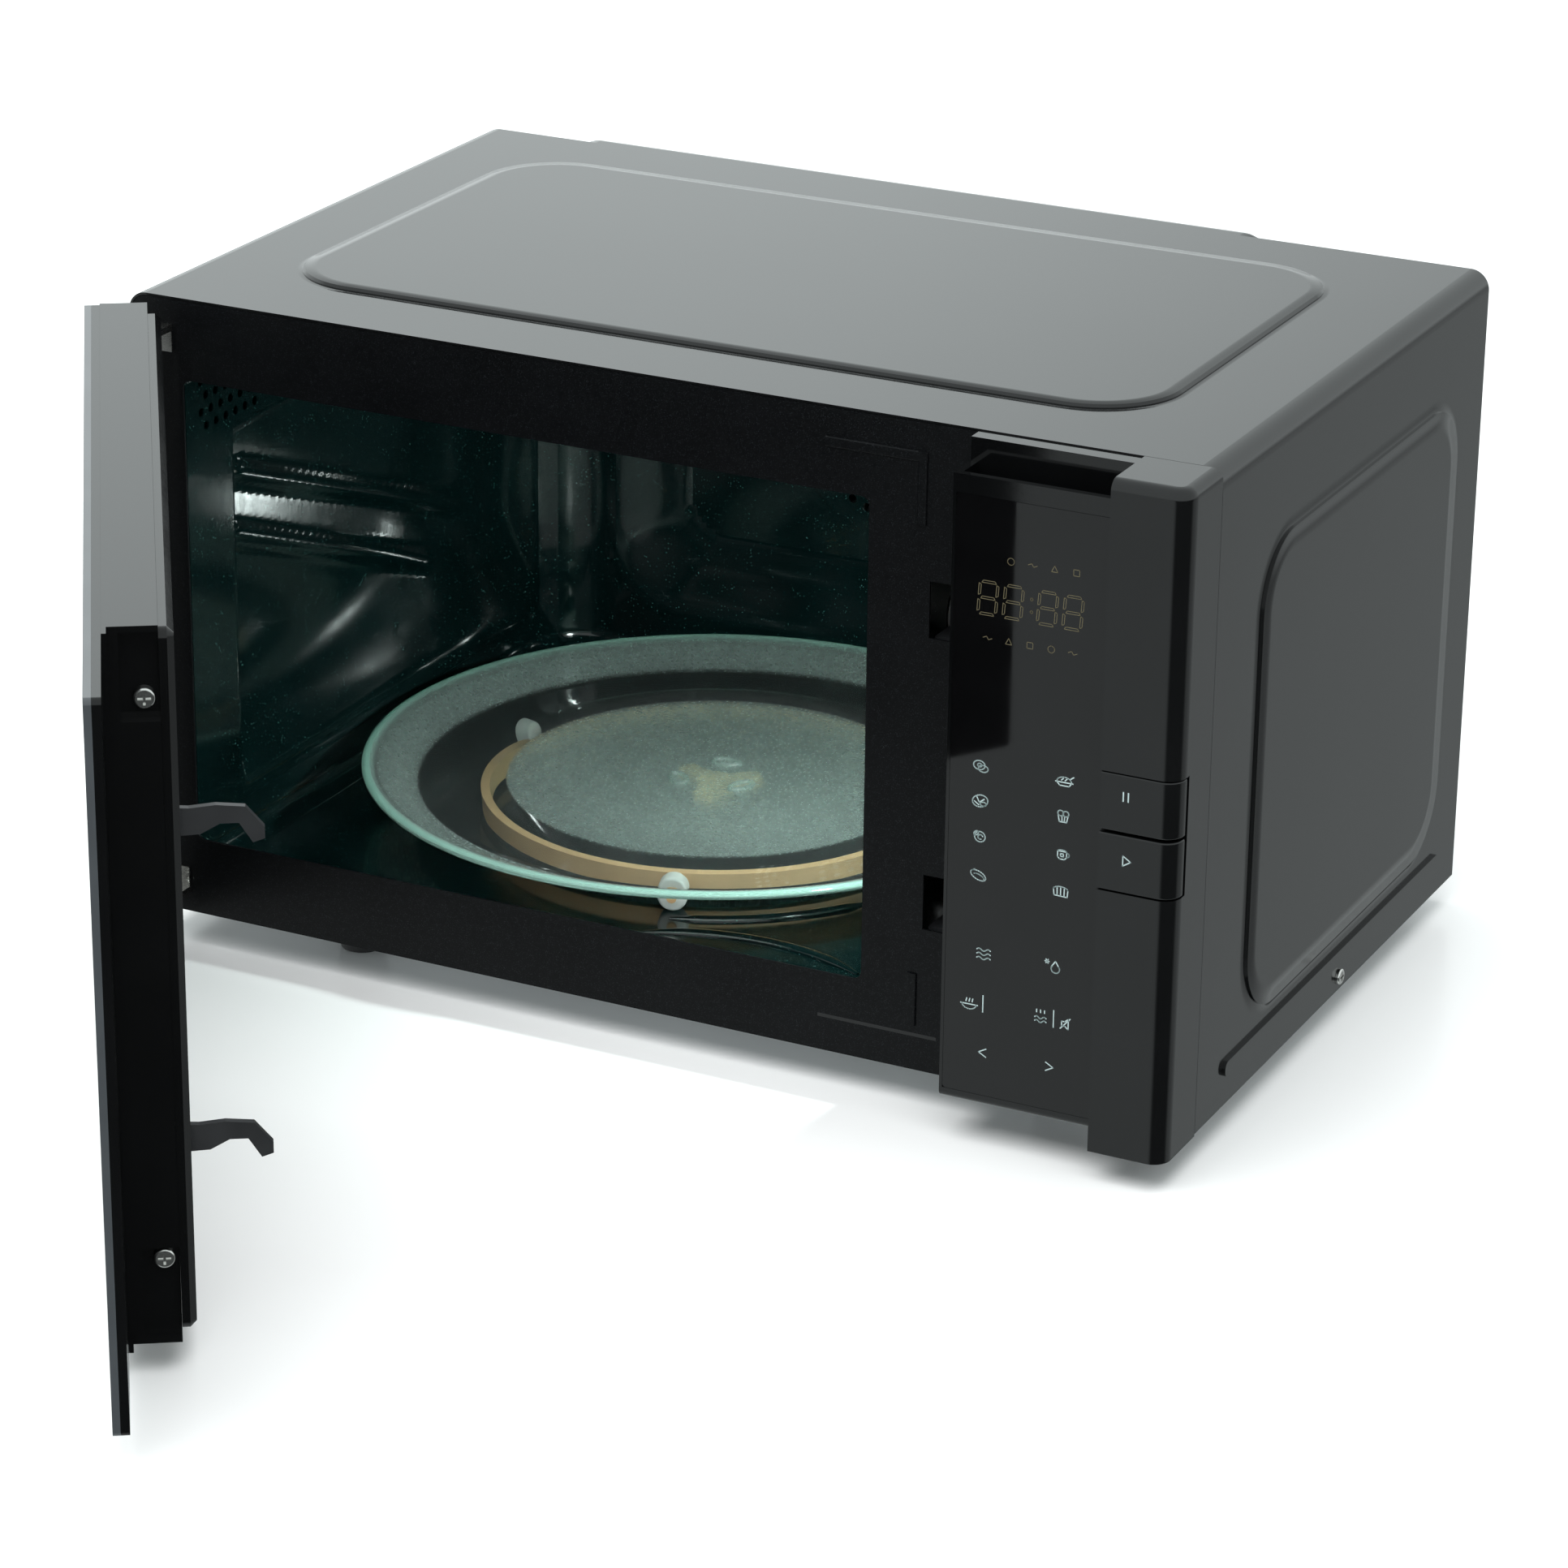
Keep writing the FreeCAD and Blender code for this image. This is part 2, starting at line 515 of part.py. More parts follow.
def control_board():
    """Printed board with relays and a small transformer."""
    y = PANEL_Y + 9.0
    parts = [block((413.0, 476.0), (y, y + 1.6), (12.0, 240.0))]
    for z in (40.0, 64.0, 88.0):
        parts.append(block((420.0, 438.0), (y + 1.6, y + 13.5), (z, z + 18.0)))
    parts.append(block((446.0, 470.0), (y + 1.6, y + 14.0), (44.0, 78.0)))
    parts.append(rod(5.0, (430.0, y + 1.6, 130.0), (430.0, y + 12.0, 130.0)))
    parts.append(block((448.0, 468.0), (y + 1.6, y + 4.6), (130.0, 150.0)))
    return fuse(parts)


def pillar():
    """Hollow upright beside the touch glass, with the opening for the two buttons."""
    body = block(PILLAR_X, (PILLAR_Y, -0.3), PILLAR_Z)
    body = rounded(body, PILLAR_R, Z, lambda centre: centre.y < PILLAR_Y + 1 and centre.x > 500)
    edge = [e for e in body.Edges if abs(e.CenterOfMass.z - CASE_H) < 1e-6 and e.CenterOfMass.y < -1
            and e.CenterOfMass.x > PILLAR_X[0] + 1]
    body = body.makeFillet(5.0, edge)
    hollow = block(grown(PILLAR_X, -2.4), (PILLAR_Y + 2.6, 2.0), grown(PILLAR_Z, -6.5))
    hollow = rounded(hollow, 5.0, Z, lambda centre: centre.y < PILLAR_Y + 5 and centre.x > 500)
    mouth = block((PILLAR_X[0] - 1, PILLAR_X[1] + 1), (PILLAR_Y - 1, PILLAR_Y + 11.0),
                  (START_Z[0] - BUTTON_GAP, STOP_Z[1] + BUTTON_GAP))
    return body.cut(fuse([hollow, mouth]))


def button(z):
    """Push button that wraps the pillar's rounded front edge, with a stem to its switch."""
    cap = block((PILLAR_X[0] + 0.2, PILLAR_X[1]), (PILLAR_Y, PILLAR_Y + 8.6), z)
    cap = rounded(cap, PILLAR_R, Z, lambda centre: centre.y < PILLAR_Y + 1 and centre.x > 500)
    middle = sum(z) / 2
    front = [e for e in cap.Edges if e.CenterOfMass.y < PILLAR_Y + 3 and abs(e.CenterOfMass.z - middle) > 5]
    cap = cap.makeFillet(0.8, front)
    x, y = (PILLAR_X[0] + 2.2, PILLAR_X[1] - 2.4), (PILLAR_Y + 2.4, PILLAR_Y + 12.0)
    hollow = block(x, y, grown(z, -2.0))
    stem = rod(2.4, (496.0, PILLAR_Y + 2.0, middle), (496.0, PILLAR_Y + 18.0, middle))
    return fuse([cap.cut(hollow), stem])


def switch_board():
    """Small board with the two push switches behind the buttons."""
    y = PILLAR_Y + 25.0
    parts = [block((484.5, 511.5), (y, y + 1.6), (100.0, 186.0))]
    for z in (STOP_Z, START_Z):
        middle = sum(z) / 2
        parts.append(block((493.0, 499.0), (y - 3.6, y), (middle - 3.0, middle + 3.0)))
        parts.append(rod(1.6, (496.0, y - 4.6, middle), (496.0, y - 3.0, middle)))
    for z in (103.0, 180.0):
        parts.append(block((486.0, 510.0), (y + 1.6, y + 8.4), (z, z + 3.0)))
    return fuse(parts)


# ---------------------------------------------------------------- machine bay
def magnetron():
    """Magnetron: cooling fins in a yoke, filter box, antenna and waveguide to the cavity."""
    x0 = CAV_X[1] + SHEET + 0.3
    guide = block((x0, x0 + 34.0), (100.0, 200.0), (144.0, 202.0))
    guide = guide.cut(block((x0 - 1, x0 + 33.0), (101.5, 198.5), (145.5, 200.5)))
    yoke = block((x0 + 34.2, x0 + 84.0), (110.0, 190.0), (132.0, 216.0))
    yoke = yoke.cut(block((x0 + 36.2, x0 + 82.0), (109.0, 191.0), (134.0, 214.0)))
    core = rod(17.0, (x0 + 36.2, 150.0, 174.0), (x0 + 82.0, 150.0, 174.0))
    fins = []
    for i in range(6):
        x = x0 + 44.0 + 6.0 * i
        fins.append(block((x, x + 1.0), (112.0, 188.0), (134.0, 214.0)))
    box = block((x0 + 84.0, x0 + 112.0), (124.0, 176.0), (148.0, 200.0))
    antenna = rod(7.5, (x0 + 12.0, 150.0, 174.0), (x0 + 36.2, 150.0, 174.0))
    return fuse([guide, yoke, core, antenna, box] + fins)


def transformer():
    """High-voltage transformer: laminated core and two windings."""
    core = block((396.0, 482.0), (176.0, 240.0), (4.5, 78.0))
    windows = [block(x, (170.0, 245.0), (19.0, 63.0)) for x in ((412.0, 426.0), (452.0, 466.0))]
    coils = [rounded(block((412.5, 465.5), (164.0, 252.0), (20.0, 39.0)), 8.0, Z),
             rounded(block((412.5, 465.5), (164.0, 252.0), (42.0, 62.0)), 8.0, Z)]
    foot = block((388.0, 490.0), (186.0, 230.0), (2.5, 4.5))
    return fuse([core.cut(Part.makeCompound(windows))] + coils + [foot])


def capacitor():
    """Oval high-voltage capacitor with two terminals."""
    can = rounded(block((398.0, 430.0), (52.0, 104.0), (3.0, 88.0)), 15.0, Z)
    pins = [block((411.0, 417.0), (y, y + 1.0), (87.5, 96.0)) for y in (66.0, 90.0)]
    band = rounded(block((396.5, 431.5), (50.5, 105.5), (40.0, 52.0)), 15.5, Z).cut(can)
    return fuse([can, band] + pins)


def diode():
    """High-voltage diode with its eyelet strap."""
    body = rod(4.0, (440.0, 70.0, 12.0), (440.0, 96.0, 12.0))
    strap = block((437.0, 443.0), (95.5, 108.0), (11.0, 12.2))
    foot = block((436.0, 444.0), (106.0, 108.0), (2.4, 12.0))
    return fuse([body, strap, foot])


def cooling_shroud():
    """Square shroud with a round throat for the cooling fan."""
    body = rounded(block((398.0, 500.0), (286.0, 308.0), (96.0, 198.0)), 6.0, Y)
    throat = rod(45.5, (449.0, 280.0, 147.0), (449.0, 306.5, 147.0))
    arms = [block((398.0, 500.0), (305.0, 307.5), (144.0, 150.0)),
            block((446.0, 452.0), (305.0, 307.5), (96.0, 198.0))]
    hub = rod(17.0, (449.0, 304.5, 147.0), (449.0, 307.5, 147.0))
    open_back = rod(45.5, (449.0, 306.0, 147.0), (449.0, 309.0, 147.0))
    return fuse([body.cut(fuse([throat, open_back])), hub] + [arm.common(body) for arm in arms])


def fan_blades(centre, hub_r, tip_r, depth, count, pitch, shaft_r):
    """Axial fan wheel about a Y axis, bored for its shaft."""
    x, y, z = centre
    parts = [rod(hub_r, (x, y, z), (x, y + depth, z))]
    for i in range(count):
        blade = block((-depth * 0.62, depth * 0.62), (-0.8, 0.8), (hub_r - 1.5, tip_r))
        blade.rotate(V(0, 0, 0), Z, pitch)
        blade.translate(V(x, y + depth / 2, z))
        blade.rotate(V(x, y, z), Y, 360.0 * i / count)
        parts.append(blade)
    swept = rod(tip_r, (x, y + 0.2, z), (x, y + depth - 0.2, z))
    wheel_shape = fuse(parts).common(swept)
    return wheel_shape.cut(rod(shaft_r, (x, y - 1, z), (x, y + depth + 1, z)))


def cooling_motor():
    """Shaded-pole motor that drives the cooling fan."""
    stack = block((424.0, 474.0), (258.0, 274.0), (124.0, 170.0))
    rotor = rod(13.0, (449.0, 250.0, 147.0), (449.0, 280.0, 147.0))
    coil = rounded(block((430.0, 468.0), (252.0, 280.0), (108.0, 124.5)), 5.0, X)
    shaft = rod(2.0, (449.0, 280.0, 147.0), (449.0, 301.0, 147.0))
    posts = [rod(2.5, (x, 274.0, z), (x, 286.0, z)) for x, z in ((428.0, 166.0), (470.0, 166.0))]
    posts += [block((x - 3.0, x + 3.0), (283.5, 286.0), (163.0, 196.0)) for x in (428.0, 470.0)]
    return fuse([stack, rotor, coil, shaft] + posts)


def filter_board():
    """Mains filter board with coils, fuse and suppressor capacitor."""
    z = 262.0
    parts = [block((392.0, 500.0), (20.0, 110.0), (z, z + 1.6))]
    parts.append(tube(13.0, 6.0, (420.0, 50.0, z + 1.6), (420.0, 50.0, z + 12.0)))
    parts.append(block((446.0, 474.0), (40.0, 54.0), (z + 1.6, z + 18.0)))
    parts.append(rod(3.0, (440.0, 90.0, z + 5.0), (465.0, 90.0, z + 5.0)))
    for x in (441.0, 459.0):
        parts.append(block((x, x + 5.0), (87.0, 93.0), (z + 1.6, z + 7.0)))
    for x in (396.0, 494.0):
        parts.append(block((x, x + 3.0), (100.0, 110.0), (z + 1.6, CASE_H - SHEET - 0.4)))
    return fuse(parts)


def cord_gland():
    """Moulded gland in the back panel where the mains cord would enter."""
    y = CASE_D
    flange = rod(11.0, (478.0, y - 0.2, 34.0), (478.0, y + 3.3, 34.0))
    neck = rod(8.0, (478.0, y - 6.0, 34.0), (478.0, y - 0.2, 34.0))
    back = rod(10.0, (478.0, y - 6.0, 34.0), (478.0, y - 1.5, 34.0))
    nose = Part.makeCone(8.5, 6.0, 9.0, V(478.0, y + 3.3, 34.0), Y)
    bore = rod(3.6, (478.0, y - 10.0, 34.0), (478.0, y + 20.0, 34.0))
    return fuse([flange, neck, back, nose]).cut(bore)


def interlock_bracket():
    """Moulded bracket behind the latch slots, with a ramp under each hook."""
    x0, x1 = SLOT_X[0] - 6.0, SLOT_X[1] + 12.0
    back = block((x1 - 3.0, x1), (1.3, 40.0), (56.0, 236.0))
    spine = block((x0, x1), (37.0, 40.0), (100.0, 190.0))
    feet_plates = [block((x0, x1), (1.3, 3.3), (96.0, 190.0))]
    ramps = []
    for low, high in SLOT_Z:
        ramps.append(block((SLOT_X[0], x1 - 2.0), (6.0, 24.0), (low - 9.0, low - 1.0)))
    rails = [block((x1 - 8.0, x1), (1.3, 40.0), (z, z + 2.5)) for z in (56.0, 104.0, 184.0, 233.5)]
    return fuse([back, spine] + feet_plates + ramps + rails)


def interlock_switches():
    """Three microswitches beside the hooks."""
    x = SLOT_X[1] + 12.3
    switches = []
    for y, z in ((14.0, 206.0), (14.0, 76.0), (14.0, 140.0)):
        case = rounded(block((x, x + 10.0), (y, y + 16.0), (z - 14.0, z + 14.0)), 1.2, X)
        tabs = []
        for k in (-9.0, 0.0, 9.0):
            tabs.append(block((x + 4.5, x + 5.5), (y + 16.0, y + 22.0), (z + k - 2.4, z + k + 2.4)))
        switches.append(fuse([case] + tabs))
    return group(switches)


def thermal_cutouts():
    """Two snap-disc cut-outs: one on the cavity's ceiling, one on the magnetron's yoke."""
    discs = []
    for x, y, z in ((300.0, 150.0, CAV_Z[1] + SHEET + 0.2), (436.0, 150.0, 216.2)):
        flange = block((x - 12.0, x + 12.0), (y - 4.0, y + 4.0), (z, z + 1.0))
        disc = fuse([rod(8.0, (x, y, z), (x, y, z + 9.0)), flange])
        tabs = []
        for side in (-4.0, 4.0):
            tabs.append(block((x + side - 0.5, x + side + 0.5), (y - 3.0, y + 3.0), (z + 9.0, z + 16.0)))
        discs.append(fuse([disc] + tabs))
    return group(discs)


def cavity_lamp():
    """Lamp in its holder behind the right wall's vent."""
    x = CAV_X[1] + SHEET + 0.4
    holder = tube(15.0, 12.0, (x, 60.0, 190.0), (x + 14.0, 60.0, 190.0))
    back = rod(15.0, (x + 14.0, 60.0, 190.0), (x + 18.0, 60.0, 190.0))
    bulb = Part.makeSphere(7.0, V(x + 7.4, 60.0, 190.0))
    return fuse([holder, back, bulb])


# ---------------------------------------------------------------- convection unit
def convection_heater():
    """Ring heater round the convection fan, with two straight ends through the back."""
    x, z = FAN_C
    y = CHAMBER_Y + 6.0
    ring = Part.makeTorus(HEATER_R, 3.2, V(x, y, z), Y)
    gap = block((x - HEATER_END_X, x + HEATER_END_X), (y - 10.0, y + 10.0), (z, z + HEATER_R + 10.0))
    rise = math.sqrt(HEATER_R ** 2 - HEATER_END_X ** 2)
    reach = (y - 3.6, y + 17.0)
    ends = [rod(3.4, *[(x + side * HEATER_END_X, end, z + rise) for end in reach])
            for side in (-1, 1)]
    return fuse([ring.cut(gap)] + ends)


def fan_chamber():
    """Steel pan behind the cavity that closes the convection fan in and holds its motor."""
    x, z = FAN_C
    y0, y1 = CHAMBER_Y, CHAMBER_Y + 22.0
    pan = rod(80.0, (x, y0, z), (x, y1, z)).cut(rod(79.0, (x, y0 - 1, z), (x, y1 - 1.0, z)))
    collar = tube(86.0, 79.0, (x, y0, z), (x, y0 + 1.0, z))
    collar = collar.common(block((0, CASE_W), (y0, y1), (84.0, 212.0)))
    holes = [rod(4.0, (x, y1 - 5, z), (x, y1 + 5, z))]
    rise = math.sqrt(HEATER_R ** 2 - HEATER_END_X ** 2)
    for side in (-HEATER_END_X, HEATER_END_X):
        holes.append(rod(3.8, (x + side, y1 - 5, z + rise), (x + side, y1 + 5, z + rise)))
    return fuse([pan, collar]).cut(Part.makeCompound(holes))


def convection_motor():
    """Flat motor on the back of the fan chamber, with the fan's shaft."""
    x, z = FAN_C
    y = CHAMBER_Y + 22.2
    case = rod(27.0, (x, y, z), (x, REAR_Y - SHEET - 0.4, z))
    shaft = rod(2.5, (x, CHAMBER_Y + 1.8, z), (x, y + 1.0, z))
    return fuse([case, shaft])


# ---------------------------------------------------------------- hinges and screws
def hinge_bracket(z):
    """Cabinet-side hinge: a plate on the front plate, an arm and an upright pin."""
    x, y = HINGE
    inward = 1 if z < CASE_H / 2 else -1
    arm = block((x - 4.5, 22.0), (y, 0.0), (z - ARM_T / 2, z + ARM_T / 2))
    eye = rod(4.5, (x, y, z - ARM_T / 2), (x, y, z + ARM_T / 2))
    wall = sorted((z + inward * ARM_T / 2, z + inward * 11.0))
    plate = block((9.0, 22.0), (-0.9, -0.1), (wall[0], wall[1]))
    pin = rod(PIN_R, (x, y, z - 7.0), (x, y, z + 7.0))
    return fuse([arm, eye, plate, pin])


def door_pocket(z):
    """Space in the door that a hinge arm needs while the door swings."""
    inward = 1 if z < CASE_H / 2 else -1
    low, high = z - ARM_T / 2 - 0.6, z + ARM_T / 2 + 0.6
    reach = [block((-2.0, 27.0), (HINGE[1] - 6.0, 2.0), (low, high))]
    wall = sorted((z + inward * ARM_T / 2, z + inward * 12.5))
    reach.append(block((-2.0, 25.0), (-4.0, 2.0), (wall[0] - 0.1, wall[1] + 0.1)))
    return fuse(reach)


def casing_screws():
    """Screws through the casing's sides into the base, and at the back."""
    screws = []
    for x, direction in ((-0.1, (-1, 0, 0)), (CASE_W + 0.1, (1, 0, 0))):
        screws.append(screw(3.6, 1.9, 1.7, 6.5, (x, 165.0, 7.0), direction))
    for x, z in REAR_SCREWS:
        screws.append(screw(3.4, 1.9, 1.5, 6.0, (x, CASE_D - 0.1, z), (0, 1, 0)))
    return group(screws)


def housing_screws():
    """Screws round the flange of the rear housing."""
    y = CASE_D + SHEET + 0.05
    return group([screw(2.9, 1.7, 1.4, 5.0, (x, y, z), (0, 1, 0)) for x, z in HOUSING_SCREWS])


# ---------------------------------------------------------------- door
def door_glass():
    """Outer glass of the whole door front."""
    glass = rounded(block(DOOR_X, GLASS_Y, DOOR_Z), 2.5, Y)
    return glass


def door_carrier():
    """Moulded carrier behind the outer glass; it overhangs the inner door on the right."""
    y = (CARRIER_Y[0] + 0.02, CARRIER_Y[1])
    plate = rounded(block(DOOR_X, y, DOOR_Z), 2.5, Y)
    return plate.cut(rounded(block(WINDOW_X, (-40, 0), WINDOW_Z), 10.0, Y))


def screw_pockets():
    """Recesses for the two screws in the door's free end face."""
    x, y = (BODY_X[1] - 5.5, BODY_X[1] + 1), (-21.5, FRAME_Y[1] + 5)
    return [block(x, y, z) for z in ((253.5, 288.5), (-1.2, 38.5))]


def door_frame():
    """Moulded inner door frame that the hinges, latch and screen sit in."""
    y = (FRAME_Y[0] + 0.02, FRAME_Y[1])
    body = block(BODY_X, y, DOOR_Z)
    nose = block((BODY_X[1] - 1, BODY_X[1] + 7), (y[0], y[0] + 1.8), DOOR_Z)
    tray = block((13.0, 399.0), (y[0] + 2.0, 0.0), (21.0, 269.0))
    window = rounded(block(WINDOW_X, (-40, 0), WINDOW_Z), 10.0, Y)
    bores = [rod(PIN_R + PIN_FIT, (*HINGE, z - 7.6), (*HINGE, z + 7.6)) for z in HINGE_Z]
    cuts = [tray, window] + bores + [door_pocket(z) for z in HINGE_Z] + screw_pockets()
    holes = [rod(1.7, (BODY_X[1] - 14, -12.8, z), (BODY_X[1], -12.8, z)) for z in (261.3, 32.3)]
    return fuse([body, nose]).cut(Part.makeCompound(cuts[:1])).cut(Part.makeCompound(cuts[1:] + holes))


def choke_frame():
    """Welded steel inner door with the choke channel round the screen."""
    x, z = (14.0, 384.0), (22.0, 268.0)
    outer = rounded(block(x, (-24.5, -8.0), z), 3.0, Y)
    channel = block(grown(x, -1.0), (-23.5, -5.0), grown(z, -1.0))
    wall = block((WINDOW_X[0] - 18, WINDOW_X[1] + 18), (-23.6, -8.0), (WINDOW_Z[0] - 18, WINDOW_Z[1] + 18))
    inner = block((WINDOW_X[0] - 17, WINDOW_X[1] + 17), (-23.7, -7.0), (WINDOW_Z[0] - 17, WINDOW_Z[1] + 17))
    floor_hole = rounded(block(WINDOW_X, (-30, 0), WINDOW_Z), 8.0, Y)
    return fuse([outer.cut(channel), wall.cut(inner)]).cut(floor_hole)


def door_screen():
    """Perforated screen sheet over the window."""
    sheet = block((WINDOW_X[0] - 6, WINDOW_X[1] + 6), (-23.4, -22.8), (WINDOW_Z[0] - 6, WINDOW_Z[1] + 6))
    slots = []
    for row in range(12):
        z = WINDOW_Z[0] + 8.0 + 14.4 * row
        slots.append(block((WINDOW_X[0] + 8, WINDOW_X[1] - 8), (-25, -20), (z, z + 0.8)))
    return sheet.cut(Part.makeCompound(slots))


def inner_window():
    """Clear inner pane."""
    return rounded(block(grown(WINDOW_X, 14.0), (-9.5, -7.6), grown(WINDOW_Z, 14.0)), 4.0, Y)


def door_lip():
    """Plastic choke cover facing the oven, with slots for the hooks."""
    x, z = (4.0, 403.5), (1.0, 288.0)
    body = rounded(block(x, (LIP_Y[0] + 0.05, LIP_Y[1]), z), 4.0, Y)
    rim = [e for e in body.Edges if abs(e.CenterOfMass.y - LIP_Y[1]) < 1e-6]
    body = body.makeChamfer(2.5, rim)
    window = rounded(block(WINDOW_X, (-12, 2), WINDOW_Z), 8.0, Y)
    trough = block((22.0, 378.0), (-8.0, -3.2), (28.0, 262.0)).cut(
        block((WINDOW_X[0] - 22, WINDOW_X[1] + 22), (-9.0, -3.0), (WINDOW_Z[0] - 22, WINDOW_Z[1] + 22)))
    slots = [block((HOOK_X[0] - 1.5, HOOK_X[1] + 1.5), (-12, 2), (z0 - 10.0, z0 + 15.0)) for z0 in HOOK_Z]
    cuts = [window, trough] + slots + [door_pocket(z0) for z0 in HINGE_Z]
    return body.cut(Part.makeCompound(cuts))


def latch_bar():
    """Sliding latch: an upright bar with two hooks."""
    x0, x1 = HOOK_X
    parts = [block((x0, x1), (-21.0, -12.0), (60.0, 226.0))]
    for z in HOOK_Z:
        outline = [(-14.0, z - 6.0), (6.0, z - 5.0), (13.5, z - 1.0), (20.5, z - 1.0), (25.5, z - 9.0),
                   (30.0, z - 7.5), (30.0, z - 3.0), (23.0, z + 5.5), (12.0, z + 6.5), (2.0, z + 5.5),
                   (-14.0, z + 6.5)]
        parts.append(extruded([(x0, y, h) for y, h in outline], X, x1 - x0))
    peg = rod(1.4, ((x0 + x1) / 2, -16.5, 226.0), ((x0 + x1) / 2, -16.5, 231.0))
    return fuse(parts + [peg])


def latch_spring():
    """Coil spring that pushes the latch bar down."""
    coil = Part.makeHelix(3.2, 24.0, 3.0)
    start = V(3.0, 0, 0)
    section = Part.Wire(Part.makeCircle(0.45, start, Y))
    spring = Part.Wire(coil.Edges).makePipeShell([section], True, True)
    spring.translate(V(sum(HOOK_X) / 2, -16.5, 227.6))
    return spring


def latch_guide():
    """Two guides screwed into the frame that the latch bar slides in."""
    guides = []
    for z in (118.0, 168.0):
        block_shape = block((385.5, 398.6), (-25.2, -8.4), (z, z + 14.0))
        channel = block((HOOK_X[0] - 0.4, HOOK_X[1] + 0.4), (-21.4, -11.6), (z - 1, z + 15))
        guides.append(block_shape.cut(channel))
    seat = block((388.0, 398.6), (-22.0, -11.0), (252.3, 256.0))
    return group(guides + [seat])


def door_screws():
    """Two cross-head screws in the door's free end face."""
    x = BODY_X[1] - 5.4
    return group([screw(4.2, 2.2, 1.65, 6.5, (x, -12.8, z), (1, 0, 0)) for z in (261.3, 32.3)])


# ---------------------------------------------------------------- assembly
def cabinet_nodes():
    """Every node that doesn't swing with the door."""
    nodes = {
        "outer_casing": outer_casing(), "base_plate": base_plate(), "feet": feet(),
        "rear_panel": rear_panel(), "rear_housing": rear_housing(), "front_plate": front_plate(),
        "cavity_liner": cavity_liner(), "convection_cover": convection_cover(),
        "waveguide_cover": waveguide_cover(), "grill_element": grill_element(), "grill_clips": grill_clips(),
        "glass_plate": glass_plate(), "drive_coupler": drive_coupler(), "turntable_motor": turntable_motor(),
        "roller_ring": roller_ring(), "control_bezel": control_bezel(), "control_glass": control_glass(),
        "display_module": display_module(), "control_board": control_board(), "pillar": pillar(),
        "stop_button": button(STOP_Z), "start_button": button(START_Z), "switch_board": switch_board(),
        "magnetron": magnetron(), "transformer": transformer(), "capacitor": capacitor(), "diode": diode(),
        "cooling_shroud": cooling_shroud(), "cooling_motor": cooling_motor(),
        "cooling_fan": fan_blades((449.0, 288.0, 147.0), 13.0, 43.0, 14.0, 7, 32.0, 2.0),
        "filter_board": filter_board(), "cord_gland": cord_gland(), "interlock_bracket": interlock_bracket(),
        "interlock_switches": interlock_switches(), "cavity_lamp": cavity_lamp(),
        "thermal_cutouts": thermal_cutouts(),
        "convection_heater": convection_heater(), "fan_chamber": fan_chamber(),
        "convection_motor": convection_motor(),
        "convection_fan": fan_blades((FAN_C[0], CHAMBER_Y + 2.8, FAN_C[1]), 12.0, 52.0, 13.0, 9, 70.0, 2.5),
        "hinge_upper": hinge_bracket(HINGE_Z[0]), "hinge_lower": hinge_bracket(HINGE_Z[1]),
        "casing_screws": casing_screws(), "housing_screws": housing_screws(),
    }
    for number, angle in enumerate(wheel_angles(), 1):
        nodes["roller_%d" % number] = wheel(angle)
    return nodes


def door_nodes():
    """Every node that swings with the door, drawn closed."""
    return {
        "door_glass": door_glass(), "door_carrier": door_carrier(), "door_frame": door_frame(),
        "choke_frame": choke_frame(), "door_screen": door_screen(), "inner_window": inner_window(),
        "door_lip": door_lip(), "latch_bar": latch_bar(), "latch_spring": latch_spring(),
        "latch_guide": latch_guide(), "door_screws": door_screws(),
    }


def main():
    os.makedirs("parts", exist_ok=True)
    nodes = cabinet_nodes()
    for name, shape in door_nodes().items():
        shape.rotate(V(*HINGE, 0), Z, -OPEN_ANGLE)
        nodes[name] = shape
    for name, shape in nodes.items():
        shape.translate(V(-MIDDLE[0], -MIDDLE[1], FOOT_H))
        if not shape.isValid():
            print("invalid", name)
        shape.exportStep("parts/%s.step" % name)


main()
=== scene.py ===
"""Looks of the countertop microwave oven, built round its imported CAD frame. Metres, in the CAD frame."""
import math

import bpy
from mathutils import Matrix, Vector


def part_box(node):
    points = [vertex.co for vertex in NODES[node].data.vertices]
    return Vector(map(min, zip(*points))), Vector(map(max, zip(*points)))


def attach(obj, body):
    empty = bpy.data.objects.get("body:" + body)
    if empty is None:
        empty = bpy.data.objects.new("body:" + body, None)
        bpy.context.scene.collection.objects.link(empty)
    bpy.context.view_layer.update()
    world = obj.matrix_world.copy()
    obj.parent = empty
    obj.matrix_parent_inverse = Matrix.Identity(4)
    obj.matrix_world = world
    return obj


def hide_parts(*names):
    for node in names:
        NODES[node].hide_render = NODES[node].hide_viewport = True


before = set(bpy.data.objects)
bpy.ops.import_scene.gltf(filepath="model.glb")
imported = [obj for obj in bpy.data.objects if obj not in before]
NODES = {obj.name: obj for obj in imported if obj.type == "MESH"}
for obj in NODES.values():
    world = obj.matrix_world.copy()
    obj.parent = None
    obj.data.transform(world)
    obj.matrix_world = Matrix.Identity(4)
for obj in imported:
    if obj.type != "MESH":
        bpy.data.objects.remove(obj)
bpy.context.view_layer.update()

MM = 0.001
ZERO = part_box("base_plate")[0] - Vector((1.3, 1.2, 1.2)) * MM     # casing's front bottom left corner
HINGE = Vector((6.0, -22.0, 0.0))
DOOR_OPEN = 56.5                    # degrees the door stands open at rest
PANEL_Y = -25.0                     # face of the touch glass
BUTTON_Y = -34.0                    # face of the two push buttons
INK, THIN_INK = 0.04, 0.03          # how far printing stands proud of its face
TABLE = (204.0, 167.0)              # axis of the turntable
LUG_ANGLE = 100.0                   # heading of the glass plate's first lug
